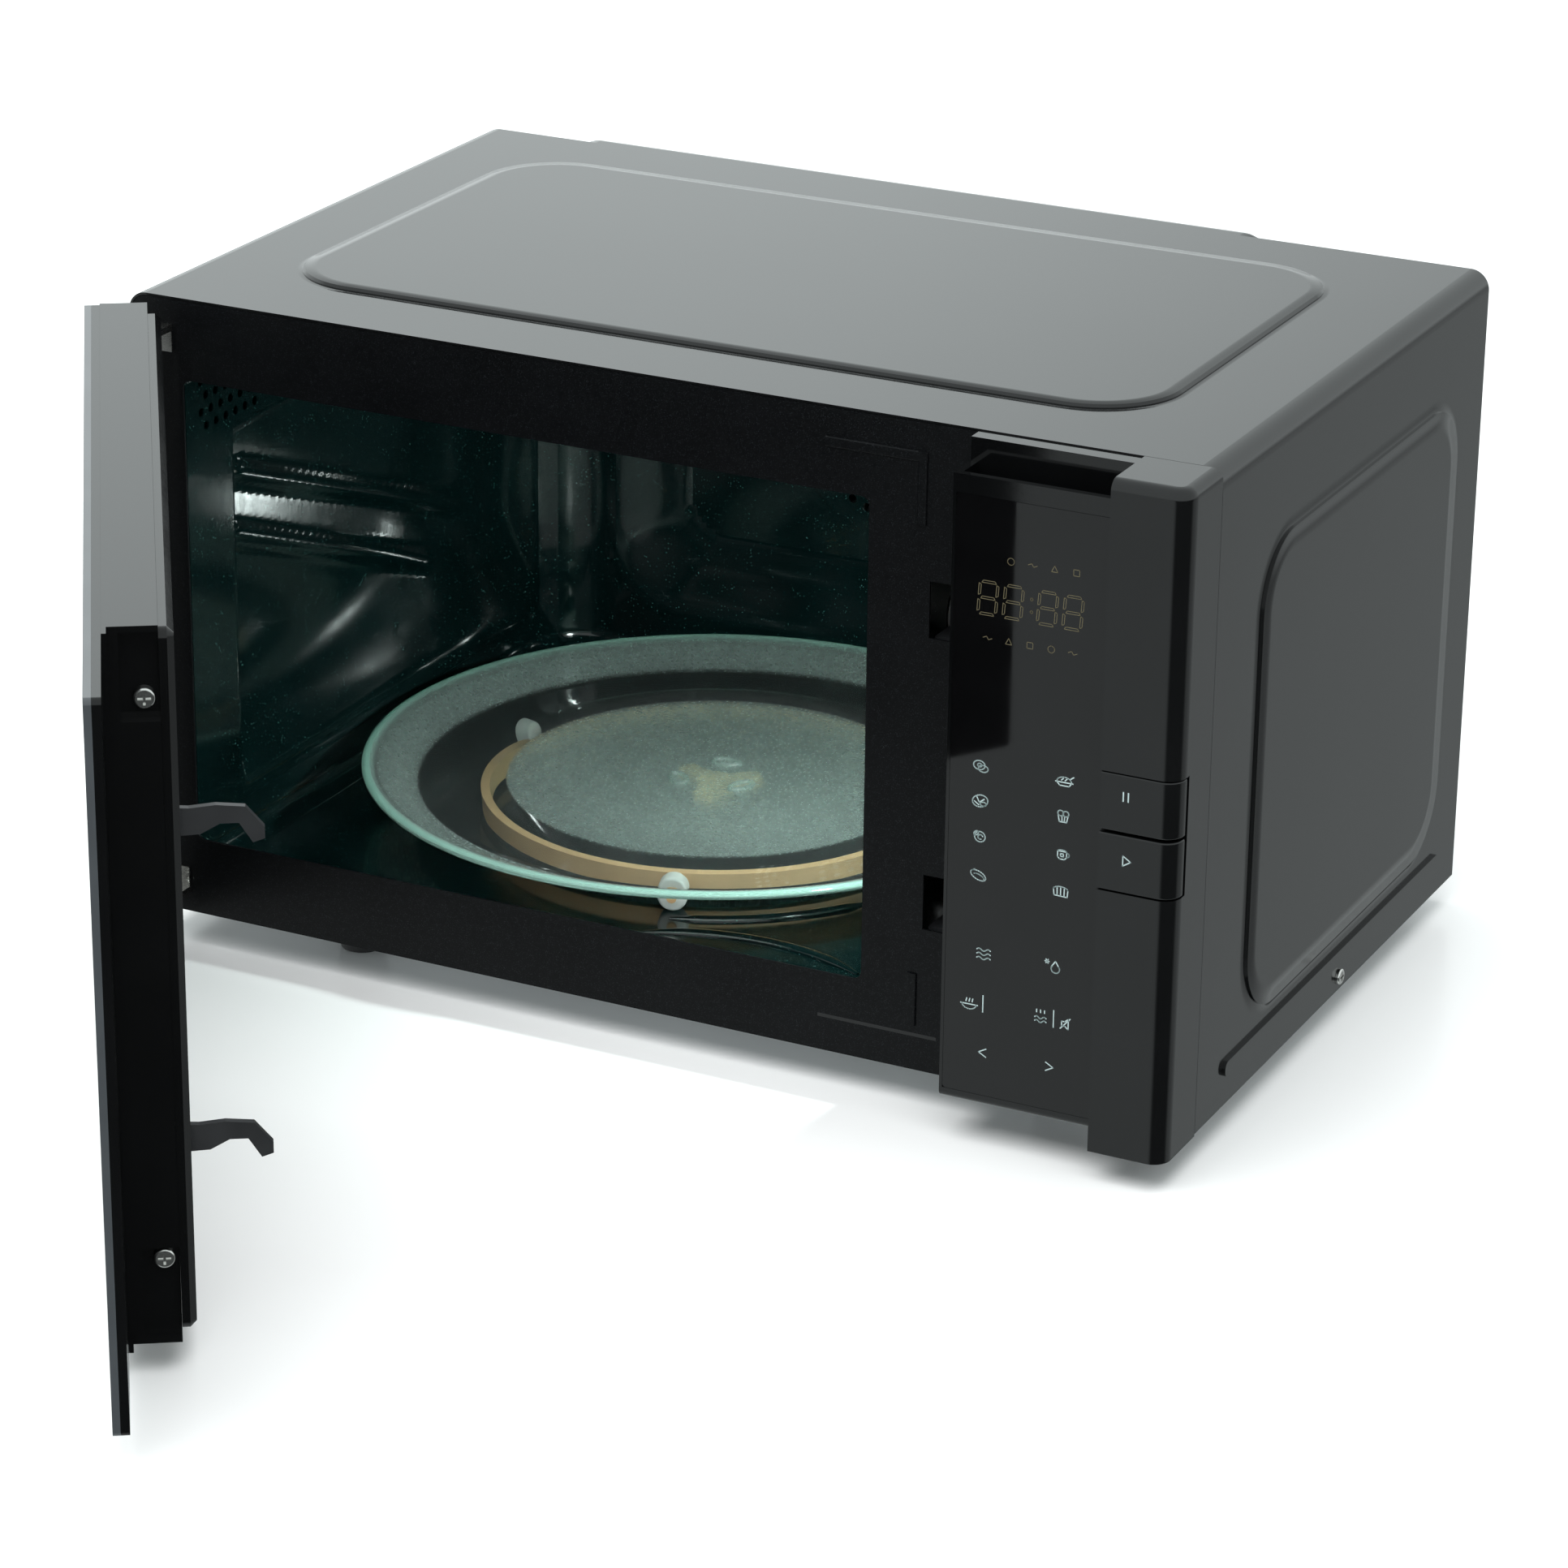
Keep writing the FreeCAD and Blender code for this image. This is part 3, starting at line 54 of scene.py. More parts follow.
CAVITY_LEFT, CAVITY_BACK, FLOOR_Z = 26.6, 336.0, 25.0


def at(x, y, z):
    """Point of the cabinet, given in millimetres from the casing's corner."""
    return ZERO + Vector((x, y, z)) * MM


# ---------------------------------------------------------------- materials
class Look:
    """One procedural material: a Principled shader fed by noise in the piece's own coordinates."""

    def __init__(self, name, **sockets):
        self.material = bpy.data.materials.new(name)
        self.material.use_nodes = True
        tree = self.material.node_tree
        self.nodes, self.links = tree.nodes, tree.links
        self.shader = self.nodes["Principled BSDF"]
        self.place = self.nodes.new("ShaderNodeTexCoord").outputs["Object"]
        for socket, value in sockets.items():
            self.shader.inputs[socket.replace("_", " ")].default_value = value

    def link(self, source, target):
        if isinstance(source, (int, float, tuple)):
            target.default_value = source
        else:
            self.links.new(source, target)

    def math(self, operation, a, b=0.0):
        node = self.nodes.new("ShaderNodeMath")
        node.operation = operation
        self.link(a, node.inputs[0])
        self.link(b, node.inputs[1])
        return node.outputs[0]

    def noise(self, scale, detail=2.0, stretch=None, seed=0.0):
        place = self.place
        if stretch or seed:
            mapping = self.nodes.new("ShaderNodeMapping")
            mapping.inputs["Scale"].default_value = stretch or (1.0, 1.0, 1.0)
            mapping.inputs["Location"].default_value = (seed, seed * 0.7, seed * 1.3)
            self.links.new(place, mapping.inputs["Vector"])
            place = mapping.outputs[0]
        node = self.nodes.new("ShaderNodeTexNoise")
        node.inputs["Scale"].default_value = scale
        node.inputs["Detail"].default_value = detail
        self.links.new(place, node.inputs["Vector"])
        return node.outputs["Fac"]

    def cells(self, scale, feature="F1"):
        node = self.nodes.new("ShaderNodeTexVoronoi")
        node.feature = feature
        node.inputs["Scale"].default_value = scale
        self.links.new(self.place, node.inputs["Vector"])
        return node.outputs["Distance"]

    def spread(self, value, low, high, to_low=0.0, to_high=1.0, smooth=False):
        node = self.nodes.new("ShaderNodeMapRange")
        node.interpolation_type = "SMOOTHSTEP" if smooth else "LINEAR"
        self.links.new(value, node.inputs["Value"])
        for key, number in (("From Min", low), ("From Max", high), ("To Min", to_low), ("To Max", to_high)):
            self.link(number, node.inputs[key])
        return node.outputs[0]

    def mix(self, factor, first, second):
        node = self.nodes.new("ShaderNodeMix")
        node.data_type = "RGBA"
        self.link(factor, node.inputs["Factor"])
        for colour, target in ((first, node.inputs["A"]), (second, node.inputs["B"])):
            self.link((*colour, 1.0) if isinstance(colour, tuple) and len(colour) == 3 else colour, target)
        return node.outputs["Result"]

    def colour(self, source):
        self.links.new(source, self.shader.inputs["Base Color"])

    def rough(self, source):
        self.links.new(source, self.shader.inputs["Roughness"])

    def bump(self, height, depth_mm, strength=1.0):
        node = self.nodes.new("ShaderNodeBump")
        node.inputs["Distance"].default_value = depth_mm * MM
        self.link(strength, node.inputs["Strength"])
        self.links.new(height, node.inputs["Height"])
        previous = self.shader.inputs["Normal"].links
        if previous:
            self.links.new(previous[0].from_socket, node.inputs["Normal"])
        self.links.new(node.outputs[0], self.shader.inputs["Normal"])

    def axes(self):
        node = self.nodes.new("ShaderNodeSeparateXYZ")
        self.links.new(self.place, node.inputs[0])
        return node.outputs

    def length(self, a, b):
        return self.math("SQRT", self.math("ADD", self.math("MULTIPLY", a, a), self.math("MULTIPLY", b, b)))

    def radius(self):
        """Distance from the piece's own Z axis."""
        x, y, _ = self.axes()
        return self.length(x, y)

    def outside(self, u, v, centre, half, corner):
        """Signed distance, in millimetres, from a rounded rectangle in the plane of u and v."""
        reach = []
        for value, middle, size in ((u, centre[0], half[0]), (v, centre[1], half[1])):
            away = self.math("ABSOLUTE", self.math("SUBTRACT", value, middle))
            reach.append(self.math("SUBTRACT", self.math("DIVIDE", away, MM), size - corner))
        round_part = self.length(*(self.math("MAXIMUM", r, 0.0) for r in reach))
        flat_part = self.math("MINIMUM", self.math("MAXIMUM", *reach), 0.0)
        return self.math("SUBTRACT", self.math("ADD", round_part, flat_part), corner)

    def turned(self, centre, degrees):
        """Switches to coordinates turned back about an upright axis."""
        node = self.nodes.new("ShaderNodeVectorRotate")
        node.rotation_type = "Z_AXIS"
        node.inputs["Center"].default_value = centre
        node.inputs["Angle"].default_value = math.radians(degrees)
        self.links.new(self.place, node.inputs["Vector"])
        self.place = node.outputs[0]


def shade(colour, factor):
    return tuple(min(c * factor, 1.0) for c in colour)


def plain(name, colour, rough, vary=0.18, rough_vary=0.05, patch=45.0, grain=1400.0, depth=0.01, stretch=None,
          seed=0.0, **sockets):
    """Material with soft patches of colour, uneven roughness and a fine surface grain."""
    look = Look(name, **sockets)
    patches = look.noise(patch, 4.0, seed=seed)
    blend = look.spread(patches, 0.3, 0.7)
    look.colour(look.mix(blend, shade(colour, 1.0 - vary), shade(colour, 1.0 + vary)))
    fine = look.noise(grain, 2.0, stretch, seed)
    wear = look.math("ADD", look.math("MULTIPLY", patches, 0.6), look.math("MULTIPLY", fine, 0.4))
    look.rough(look.spread(wear, 0.3, 0.7, max(rough - rough_vary, 0.0), rough + rough_vary))
    look.bump(fine, depth)
    return look


def speckled(name, dark, light, scale, share, rough, depth, **sockets):
    """Fired enamel: light specks in a dark ground, over a slightly pebbled surface."""
    look = Look(name, **sockets)
    cells = look.cells(scale)
    cloud = look.noise(scale * 0.31, 3.0)
    broken = look.math("ADD", cells, look.math("MULTIPLY", cloud, 0.5))
    specks = look.spread(broken, share, share + 0.1, 1.0, 0.0)
    ground = look.mix(look.spread(look.noise(25.0, 3.0), 0.3, 0.7), shade(dark, 0.8), shade(dark, 1.2))
    look.colour(look.mix(specks, ground, light))
    look.rough(look.spread(cloud, 0.3, 0.7, rough * 0.8, rough * 1.2))
    look.bump(look.noise(scale * 0.8, 2.0), depth)
    return look


def brushed(name, colour, rough, stretch=(1.0, 40.0, 40.0), seed=0.0, **sockets):
    """Sheet metal with faint rolling marks."""
    look = plain(name, colour, rough, 0.12, 0.08, 30.0, 260.0, 0.004, stretch, seed, Metallic=1.0, **sockets)
    spots = look.spread(look.noise(90.0, 5.0, seed=seed + 3.0), 0.55, 0.75)
    look.bump(spots, 0.01, 0.4)
    return look


LOOKS = {
    "gloss_black": plain("gloss_black", (0.0028, 0.0030, 0.0032), 0.07, 0.2, 0.02, 20.0, 500.0, 0.002,
                         seed=1.0),
    "door_black": plain("door_black", (0.0026, 0.0028, 0.003), 0.12, 0.2, 0.03, 20.0, 500.0, 0.003, seed=16.0,
                        Specular_IOR_Level=0.36),
    "satin_black": plain("satin_black", (0.006, 0.0062, 0.0065), 0.34, 0.2, 0.06, 40.0, 2400.0, 0.012,
                         seed=2.0),
    "dark_grey": plain("dark_grey", (0.022, 0.023, 0.025), 0.38, 0.2, 0.06, 40.0, 2200.0, 0.01, seed=3.0),
    "front_enamel": speckled("front_enamel", (0.0022, 0.0025, 0.003), (0.016, 0.018, 0.02), 1500.0, 0.42,
                             0.40, 0.02, Specular_IOR_Level=0.16),
    "cavity_enamel": speckled("cavity_enamel", (0.0010, 0.0052, 0.0052), (0.060, 0.17, 0.16), 700.0, 0.27,
                              0.11, 0.006),
    "galvanised": brushed("galvanised", (0.55, 0.57, 0.58), 0.38),
    "zinc": brushed("zinc", (0.70, 0.69, 0.66), 0.28, (1.0, 1.0, 30.0), 2.0),
    "screw": brushed("screw", (0.72, 0.72, 0.70), 0.22, (1.0, 1.0, 1.0), 4.0),
    "heater": brushed("heater", (0.13, 0.12, 0.12), 0.42, (1.0, 1.0, 1.0), 5.0),
    "aluminium": brushed("aluminium", (0.76, 0.77, 0.78), 0.30, (30.0, 1.0, 1.0), 6.0),
    "spring": brushed("spring", (0.50, 0.50, 0.50), 0.25, (1.0, 1.0, 1.0), 7.0),
    "rubber": plain("rubber", (0.014, 0.014, 0.015), 0.72, 0.25, 0.08, 60.0, 1800.0, 0.03, seed=8.0),
    "mica": plain("mica", (0.52, 0.48, 0.38), 0.45, 0.2, 0.1, 70.0, 700.0, 0.02, (1.0, 1.0, 6.0), 9.0),
    "beige": plain("beige", (0.80, 0.50, 0.26), 0.42, 0.06, 0.06, 60.0, 1600.0, 0.01, seed=10.0),
    "white": plain("white", (0.86, 0.86, 0.84), 0.40, 0.04, 0.06, 60.0, 1600.0, 0.01, seed=11.0),
    "windings": plain("windings", (0.46, 0.17, 0.07), 0.30, 0.25, 0.1, 90.0, 500.0, 0.15,
                      (1.0, 14.0, 1.0), 12.0),
    "board": plain("board", (0.02, 0.13, 0.055), 0.35, 0.25, 0.08, 160.0, 900.0, 0.02, seed=13.0),
    "touch_glass": plain("touch_glass", (0.0022, 0.0022, 0.0024), 0.03, 0.2, 0.015, 30.0, 90.0, 0.0006,
                         seed=14.0),
}


def casing_paint():
    """Gloss paint over sheet with softly pressed panels on the top and both sides."""
    look = plain("casing_paint", (0.0045, 0.0048, 0.005), 0.09, 0.2, 0.02, 12.0, 420.0, 0.0035)
    x, y, z = look.axes()
    top, side = at(254.0, 159.5, 291.0), at(508.0, 164.0, 137.0)
    for u, v, centre, half, corner, across, limit, edge, depth in (
            (x, y, (top.x, top.y), (209.0, 115.5), 38.0, z, top.z, (-6.5, 2.5), 1.6),
            (y, z, (side.y, side.z), (116.0, 107.0), 32.0, look.math("ABSOLUTE", x), side.x, (-9.0, 5.0),
             3.6)):
        away = look.outside(u, v, centre, half, corner)
        raised = look.spread(away, edge[0], edge[1], 1.0, 0.0, True)
        there = look.spread(look.math("SUBTRACT", across, limit), 0.0, 0.0005)
        look.bump(raised, depth, there)
    return look


LOOKS["casing_paint"] = casing_paint()
NODE_LOOKS = {
    "casing_paint": ("outer_casing", "rear_panel", "rear_housing"),
    "galvanised": ("base_plate", "turntable_motor", "cooling_motor", "fan_chamber", "convection_motor",
                   "convection_fan"),
    "rubber": ("feet",),
    "front_enamel": ("front_plate", "choke_frame", "door_screen"),
    "cavity_enamel": ("cavity_liner", "convection_cover"),
    "mica": ("waveguide_cover",),
    "heater": ("grill_element", "convection_heater"),
    "zinc": ("grill_clips", "hinge_upper", "hinge_lower"),
    "beige": ("drive_coupler", "roller_ring"),
    "white": ("cavity_lamp", "roller_1", "roller_2", "roller_3"),
    "gloss_black": ("control_bezel", "pillar", "stop_button", "start_button"),
    "door_black": ("door_frame", "door_carrier", "door_lip"),
    "touch_glass": ("control_glass", "display_module"),
    "board": ("control_board", "switch_board", "filter_board"),
    "aluminium": ("magnetron", "capacitor"),
    "windings": ("transformer",),
    "satin_black": ("diode", "cooling_shroud", "cooling_fan", "cord_gland", "thermal_cutouts",
                    "latch_guide"),
    "dark_grey": ("interlock_bracket", "interlock_switches", "latch_bar"),
    "screw": ("casing_screws", "housing_screws", "door_screws"),
    "spring": ("latch_spring",),
}


def tinted_glass(name, tint, rough, share):
    look = Look(name, IOR=1.5, Transmission_Weight=share)
    smear = look.noise(35.0, 4.0)
    look.colour(look.mix(look.spread(smear, 0.3, 0.7), shade(tint, 0.9), shade(tint, 1.1)))
    look.rough(look.spread(smear, 0.35, 0.7, rough, rough + 0.03))
    look.bump(look.noise(14.0, 1.0), 0.01)
    return look


def printed_glass():
    """Door glass: a see-through window inside a black printed border."""
    look = tinted_glass("door_glass", (0.05, 0.055, 0.06), 0.02, 0.8)
    look.turned(ZERO + HINGE * MM, DOOR_OPEN)
    x, _, z = look.axes()
    middle = at(196.0, 0.0, 146.0)
    window = look.spread(look.outside(x, z, (middle.x, middle.z), (150.0, 96.0), 12.0), -0.3, 0.3, 0.86, 0.0)
    look.links.new(window, look.shader.inputs["Transmission Weight"])
    return look


LOOKS["door_glass"] = printed_glass()
LOOKS["inner_glass"] = tinted_glass("inner_glass", (0.05, 0.055, 0.06), 0.03, 0.9)


def plate_glass():
    """Greenish glass, clear in one band and stippled in the middle and on the sloping rim."""
    look = Look("plate_glass", IOR=1.5)
    radius = look.math("DIVIDE", look.radius(), MM)
    middle = look.spread(radius, 96.5, 97.5, 1.0, 0.0)
    slope = look.math("MULTIPLY", look.spread(radius, 137.5, 139.0),
                      look.spread(radius, 156.5, 158.0, 1.0, 0.0))
    frosted = look.math("ADD", middle, slope)
    rim = look.spread(radius, 157.0, 161.0)
    tint = look.mix(frosted, (0.92, 0.99, 0.965), (0.80, 0.96, 0.90))
    look.colour(look.mix(rim, tint, (0.55, 0.93, 0.80)))
    grains = look.noise(640.0, 2.0)
    look.rough(look.spread(look.math("MULTIPLY", frosted, grains), 0.0, 0.8, 0.015, 0.34))
    cloud = look.math("ADD", look.math("MULTIPLY", frosted, 0.075), look.math("MULTIPLY", rim, 0.26))
    look.links.new(look.math("SUBTRACT", 0.985, cloud), look.shader.inputs["Transmission Weight"])
    look.bump(grains, 0.30, look.spread(frosted, 0.0, 1.0, 0.01, 1.0))
    return look


def print_ink_with_glow(name, colour, glow):
    look = plain(name, colour, 0.5, 0.15, 0.08, 300.0, 2500.0, 0.004, seed=15.0)
    # Painted glow: the emission makes the printed marks shine faintly by themselves, though they are no lamp.
    look.shader.inputs["Emission Color"].default_value = (*colour, 1.0)
    look.shader.inputs["Emission Strength"].default_value = glow
    return look


LOOKS["plate_glass"] = plate_glass()
# Icon and clock inks are print plus a painted glow.
LOOKS["icon_print_with_glow"] = print_ink_with_glow("icon_print_with_glow", (0.36, 0.45, 0.45), 0.15)
LOOKS["digit_print_with_glow"] = print_ink_with_glow("digit_print_with_glow", (0.085, 0.072, 0.038), 0.35)
NODE_LOOKS["door_glass"] = ("door_glass",)
NODE_LOOKS["inner_glass"] = ("inner_window",)
NODE_LOOKS["plate_glass"] = ("glass_plate",)


def dress(piece, look):
    """Gives one material to a piece, on every slot it has."""
    data = piece.data
    if not data.materials:
        data.materials.append(look.material)
    for index in range(len(data.materials)):
        data.materials[index] = look.material


for look_name, members in NODE_LOOKS.items():
    for member in members:
        dress(NODES[member], LOOKS[look_name])


# ---------------------------------------------------------------- pieces
def piece_of(name, points, faces, look, body, place=(0.0, 0.0, 0.0), smooth=False):
    """Mesh piece with its own origin, dressed and fixed to a body."""
    mesh = bpy.data.meshes.new(name)
    mesh.from_pydata([tuple(p) for p in points], [], faces)
    mesh.validate()
    if smooth:
        mesh.shade_smooth()
    piece = bpy.data.objects.new(name, mesh)
    bpy.context.scene.collection.objects.link(piece)
    piece.location = place
    dress(piece, LOOKS[look])
    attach(piece, body)
    return piece


def lathe(profile, turns):
    """Rings of points round Z for each (radius, height), with the faces between them."""
    points, faces, count = [], [], len(profile)
    for i in range(turns):
        turn = 2.0 * math.pi * i / turns
        points += [(r * math.cos(turn), r * math.sin(turn), h) for r, h in profile]
    for i in range(turns):
        a, b = i * count, (i + 1) % turns * count
        for j in range(count - 1):
            faces.append((a + j, b + j, b + j + 1, a + j + 1))
    return points, faces


def arc(centre, radii, from_deg, to_deg, parts=16, tilt=0.0):
    """Points along an ellipse's arc, in a flat drawing."""
    found, lean = [], math.radians(tilt)
    for i in range(parts + 1):
        a = math.radians(from_deg + (to_deg - from_deg) * i / parts)
        u, v = radii[0] * math.cos(a), radii[1] * math.sin(a)
        found.append((centre[0] + u * math.cos(lean) - v * math.sin(lean),
                      centre[1] + u * math.sin(lean) + v * math.cos(lean)))
    return found


def ribbons(lines, width):
    """Flat outline strokes: every segment is a thin quad that reaches a little past its ends."""
    points, faces = [], []
    for line in lines:
        for a, b in zip(line, line[1:]):
            run = Vector((b[0] - a[0], b[1] - a[1]))
            if run.length < 1e-6:
                continue
            run.normalize()
            side, end = Vector((-run.y, run.x)) * width / 2, run * width * 0.35
            a2, b2 = Vector(a) - end, Vector(b) + end
            base = len(points)
            points += [a2 + side, a2 - side, b2 - side, b2 + side]
            faces.append((base, base + 1, base + 2, base + 3))
    return points, faces


def printed(name, lines, width, look, body, y):
    """Strokes printed on an upright face that looks forward; the lines are in millimetres."""
    points, faces = ribbons(lines, width)
    solid = [at(u, y, v) - at(0, 0, 0) for u, v in points]
    piece_of(name, solid, faces, look, body, at(0, 0, 0))


def glass_turntable():
    """Lathed plate with a rolled rim, and three raised lugs round its middle."""
    profile = [(0.01, 0.0), (60.0, 0.0), (120.0, 0.0), (134.0, 0.0), (138.0, 0.4), (142.0, 2.0), (150.0, 6.0),
               (156.0, 8.6), (159.0, 9.7), (162.0, 10.5), (163.4, 11.2), (164.0, 12.2), (163.5, 13.3),
               (162.0, 13.9), (160.4, 13.9), (158.6, 13.5), (155.0, 12.2), (150.0, 9.7), (142.0, 5.7),
               (138.0, 4.3), (134.0, 4.0), (120.0, 4.0), (97.6, 4.0), (96.6, 3.7), (60.0, 3.7), (30.0, 3.7),
               (0.01, 3.7)]
    points, faces = lathe(profile, 192)
    reach, half_long, half_wide, bead, lug_z = 17.5, 6.6, 3.6, 1.3, 3.9
    for i in range(3):
        turn = Matrix.Rotation(math.radians(120.0 * i + LUG_ANGLE), 3, "Z")
        base, rounds, sides = len(points), 28, 8
        for j in range(rounds):
            a = 2.0 * math.pi * j / rounds
            for k in range(sides):
                b = 2.0 * math.pi * k / sides
                swell = bead * math.cos(b)
                points.append(turn @ Vector((reach + (half_wide + swell) * math.cos(a),
                                             (half_long + swell) * math.sin(a), lug_z + bead * math.sin(b))))
        for j in range(rounds):
            for k in range(sides):
                a, b = base + j * sides, base + (j + 1) % rounds * sides
                m = (k + 1) % sides
                faces.append((a + k, b + k, b + m, a + m))
    points = [Vector(p) * MM for p in points]
    plate = piece_of("turntable_glass", points, faces, "plate_glass", "turntable",
                     at(TABLE[0], TABLE[1], 39.0), smooth=True)
    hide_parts("glass_plate")


def touch_marks():
    """Outline symbols of the touch panel, without any lettering."""
    def around(x, z, *lines):
        return [[(x + u, z + v) for u, v in line] for line in lines]

    def waves(x, z, wide, rows, gap):
        return around(x, z, *[[(wide * (i / 12.0 - 0.5), gap * row + 0.5 * math.sin(i * math.pi / 4.0))
                               for i in range(13)] for row in rows])

    full = (0.0, 360.0)
    lines = around(424.3, 156.8, arc((-0.8, 0.4), (2.6, 2.0), *full), arc((1.0, -1.0), (2.2, 1.5), *full),
                   arc((-0.6, 0.4), (1.0, 0.8), *full, 10))
    lines += around(424.3, 141.5, arc((0.0, 0.0), (3.5, 2.6), *full, 24, 15.0),
                    [(-1.5, 1.6), (-0.4, -0.6), (1.8, 1.0)],
                    arc((1.4, -1.2), (1.4, 0.9), *full, 12), [(-2.6, -0.4), (-0.6, -1.8)])
    lines += around(424.3, 125.7, arc((0.3, 0.0), (2.4, 2.3), *full, 18),
                    arc((-1.4, 1.4), (1.2, 0.8), *full, 10, 40.0),
                    arc((0.5, -0.1), (1.1, 1.0), 20.0, 290.0, 10))
    lines += around(424.3, 108.4, arc((0.0, 0.0), (3.6, 1.9), *full, 20, -22.0),
                    arc((0.3, -0.5), (2.4, 0.9), 10.0, 170.0, 12, -22.0), [(-2.8, 1.9), (-1.6, 2.5)])
    lines += around(461.4, 157.2, arc((0.0, -0.2), (3.2, 2.0), 0.0, 180.0, 14), [(-3.9, -0.5), (3.9, -0.5)],
                    [(-3.2, -0.6), (-2.0, -2.0), (2.2, -2.0), (3.2, -0.6)], [(2.6, 1.2), (4.2, 2.4)],
                    [(-1.2, 0.4), (-0.4, 1.2)], [(0.4, 0.3), (1.2, 1.1)])
    lines += around(461.4, 141.9, arc((-1.1, 1.2), (1.3, 1.2), *full, 12),
                    arc((1.2, 1.1), (1.3, 1.2), *full, 12),
                    [(-2.2, 0.2), (-1.6, -2.6), (1.6, -2.6), (2.2, 0.2)], [(-0.5, 0.0), (-0.4, -2.4)],
                    [(0.7, 0.0), (0.6, -2.4)])
    lines += around(461.4, 125.0, [(-1.9, 1.4), (-1.9, -1.2), (-0.9, -2.1), (1.1, -2.1), (2.1, -1.2),
                                   (2.1, 1.4), (-1.9, 1.4)],
                    arc((2.2, 0.0), (1.1, 0.9), -90.0, 90.0, 8), arc((0.1, 1.4), (2.0, 0.6), 0.0, 180.0, 10),
                    [(-0.6, -0.9), (0.7, -0.9), (0.7, 0.3), (-0.6, 0.3), (-0.6, -0.9)])
    lines += around(461.4, 108.5, arc((0.0, 0.9), (3.2, 1.3), 0.0, 180.0, 14),
                    [(-3.2, 0.9), (-2.9, -1.9), (3.0, -2.1), (3.2, 0.9)], [(-1.6, 1.4), (-1.5, -1.7)],
                    [(0.0, 1.6), (0.0, -1.8)], [(1.6, 1.4), (1.6, -1.8)])
    lines += waves(427.7, 73.5, 6.2, (-1, 0, 1), 1.9)
    lines += around(421.7, 49.7, arc((0.0, 0.0), (3.2, 2.2), 180.0, 360.0, 12), [(-3.9, 0.0), (3.9, 0.0)],
                    *[[(x, 1.2), (x + 0.3, 2.6)] for x in (-1.4, 0.0, 1.4)])
    lines += [[(428.0, 47.2), (428.0, 54.8)], [(430.0, 30.7), (426.6, 28.8), (430.0, 26.9)]]
    lines += around(459.3, 74.2, [(0.9, 2.8), (-0.9, 0.2)], arc((0.9, -0.7), (1.9, 1.8), 140.0, 400.0, 16),
                    [(0.9, 2.8), (2.5, 0.2)], *[[(-2.9 - u, 2.2 - v), (-2.9 + u, 2.2 + v)] for u, v in
                    ((1.0, 0.0), (0.5, 0.87), (0.5, -0.87))])
    lines += waves(454.2, 50.3, 5.2, (-1, 0), 1.7)
    lines += around(454.2, 53.2, *[[(x, 0.6), (x, -0.6)] for x in (-1.8, 0.0, 1.8)])
    lines += [[(460.1, 47.2), (460.1, 54.8)], [(457.2, 30.7), (460.6, 28.8), (457.2, 26.9)]]
    lines += around(465.2, 49.8, [(-1.4, 1.0), (0.0, 1.0), (1.6, 2.3), (1.6, -2.3), (0.0, -1.0),
                                  (-1.4, -1.0), (-1.4, 1.0)], [(-2.0, -2.4), (2.4, 2.6)])
    printed("touch_symbols", lines, 0.5, "icon_print_with_glow", "cabinet", PANEL_Y - INK)


def display_marks():
    """Dim segments of the clock and two rows of small signs."""
    lines = []
    for x in (420.6, 431.8, 446.9, 458.1):
        wide, tall, low = 8.6, 13.8, 223.2

        def lean(u, v):
            return x + u + 0.06 * v, low + v

        for height in (0.0, tall / 2, tall):
            lines.append([lean(1.1, height - 0.5), lean(wide - 1.1, height - 0.5),
                          lean(wide - 1.7, height + 0.5), lean(1.7, height + 0.5), lean(1.1, height - 0.5)])
        for side in (0.4, wide - 0.4):
            for bottom in (0.9, tall / 2 + 0.9):
                top = bottom + tall / 2 - 1.8
                lines.append([lean(side - 0.5, bottom), lean(side + 0.5, bottom + 0.5),
                              lean(side + 0.5, top - 0.5), lean(side - 0.5, top), lean(side - 0.5, bottom)])
    for z in (227.4, 232.8):
        lines.append(arc((444.6, z), (0.6, 0.6), 0.0, 360.0, 8))
    signs = [arc((0.0, 0.0), (1.5, 1.5), 0.0, 360.0, 12), [(-2.0, 0.0), (-0.4, 0.7), (0.4, -0.7), (2.0, 0.0)],
             [(-1.4, -1.2), (0.0, 1.4), (1.4, -1.2), (-1.4, -1.2)],
             [(-1.3, -1.3), (-1.3, 1.3), (1.3, 1.3), (1.3, -1.3), (-1.3, -1.3)]]
    for row, z in ((0, 247.3), (1, 213.0)):
        for i in range(4 + row):
            x = (435.0 + 9.6 * i, 425.6 + 9.4 * i)[row]
            lines.append([(x + u, z + v) for u, v in signs[(i + row) % 4]])
    # The clock segments carry the painted glow of their ink.
    printed("clock_segments", lines, 0.28, "digit_print_with_glow", "cabinet", PANEL_Y - INK)


def button_marks():
    """Two bars on the stop button and an arrow on the start button."""
    bars = [[(491.2, 157.4), (491.2, 161.2)], [(493.4, 157.4), (493.4, 161.2)]]
    printed("stop_mark", bars, 0.6, "icon_print_with_glow", "stop_button", BUTTON_Y - THIN_INK)
    arrow = [[(492.0, 133.7), (492.0, 129.3), (495.4, 131.5), (492.0, 133.7)]]
    printed("start_mark", arrow, 0.5, "icon_print_with_glow", "start_button",
            BUTTON_Y - THIN_INK)


def soft_min(a, b, blend):
    """Smaller of two numbers, rounded off where they meet; never more than the smaller one."""
    mix = max(blend - abs(a - b), 0.0) / blend
    return min(a, b) - mix * mix * blend / 4.0


def soft_lip(depth):
    """Pressing depth with a rounded lip: it dives behind the sheet outside the pressing."""
    inner = -soft_min(0.8 - depth, 0.0, 3.0)
    return inner - 0.45 if depth > -2.0 else 0.3


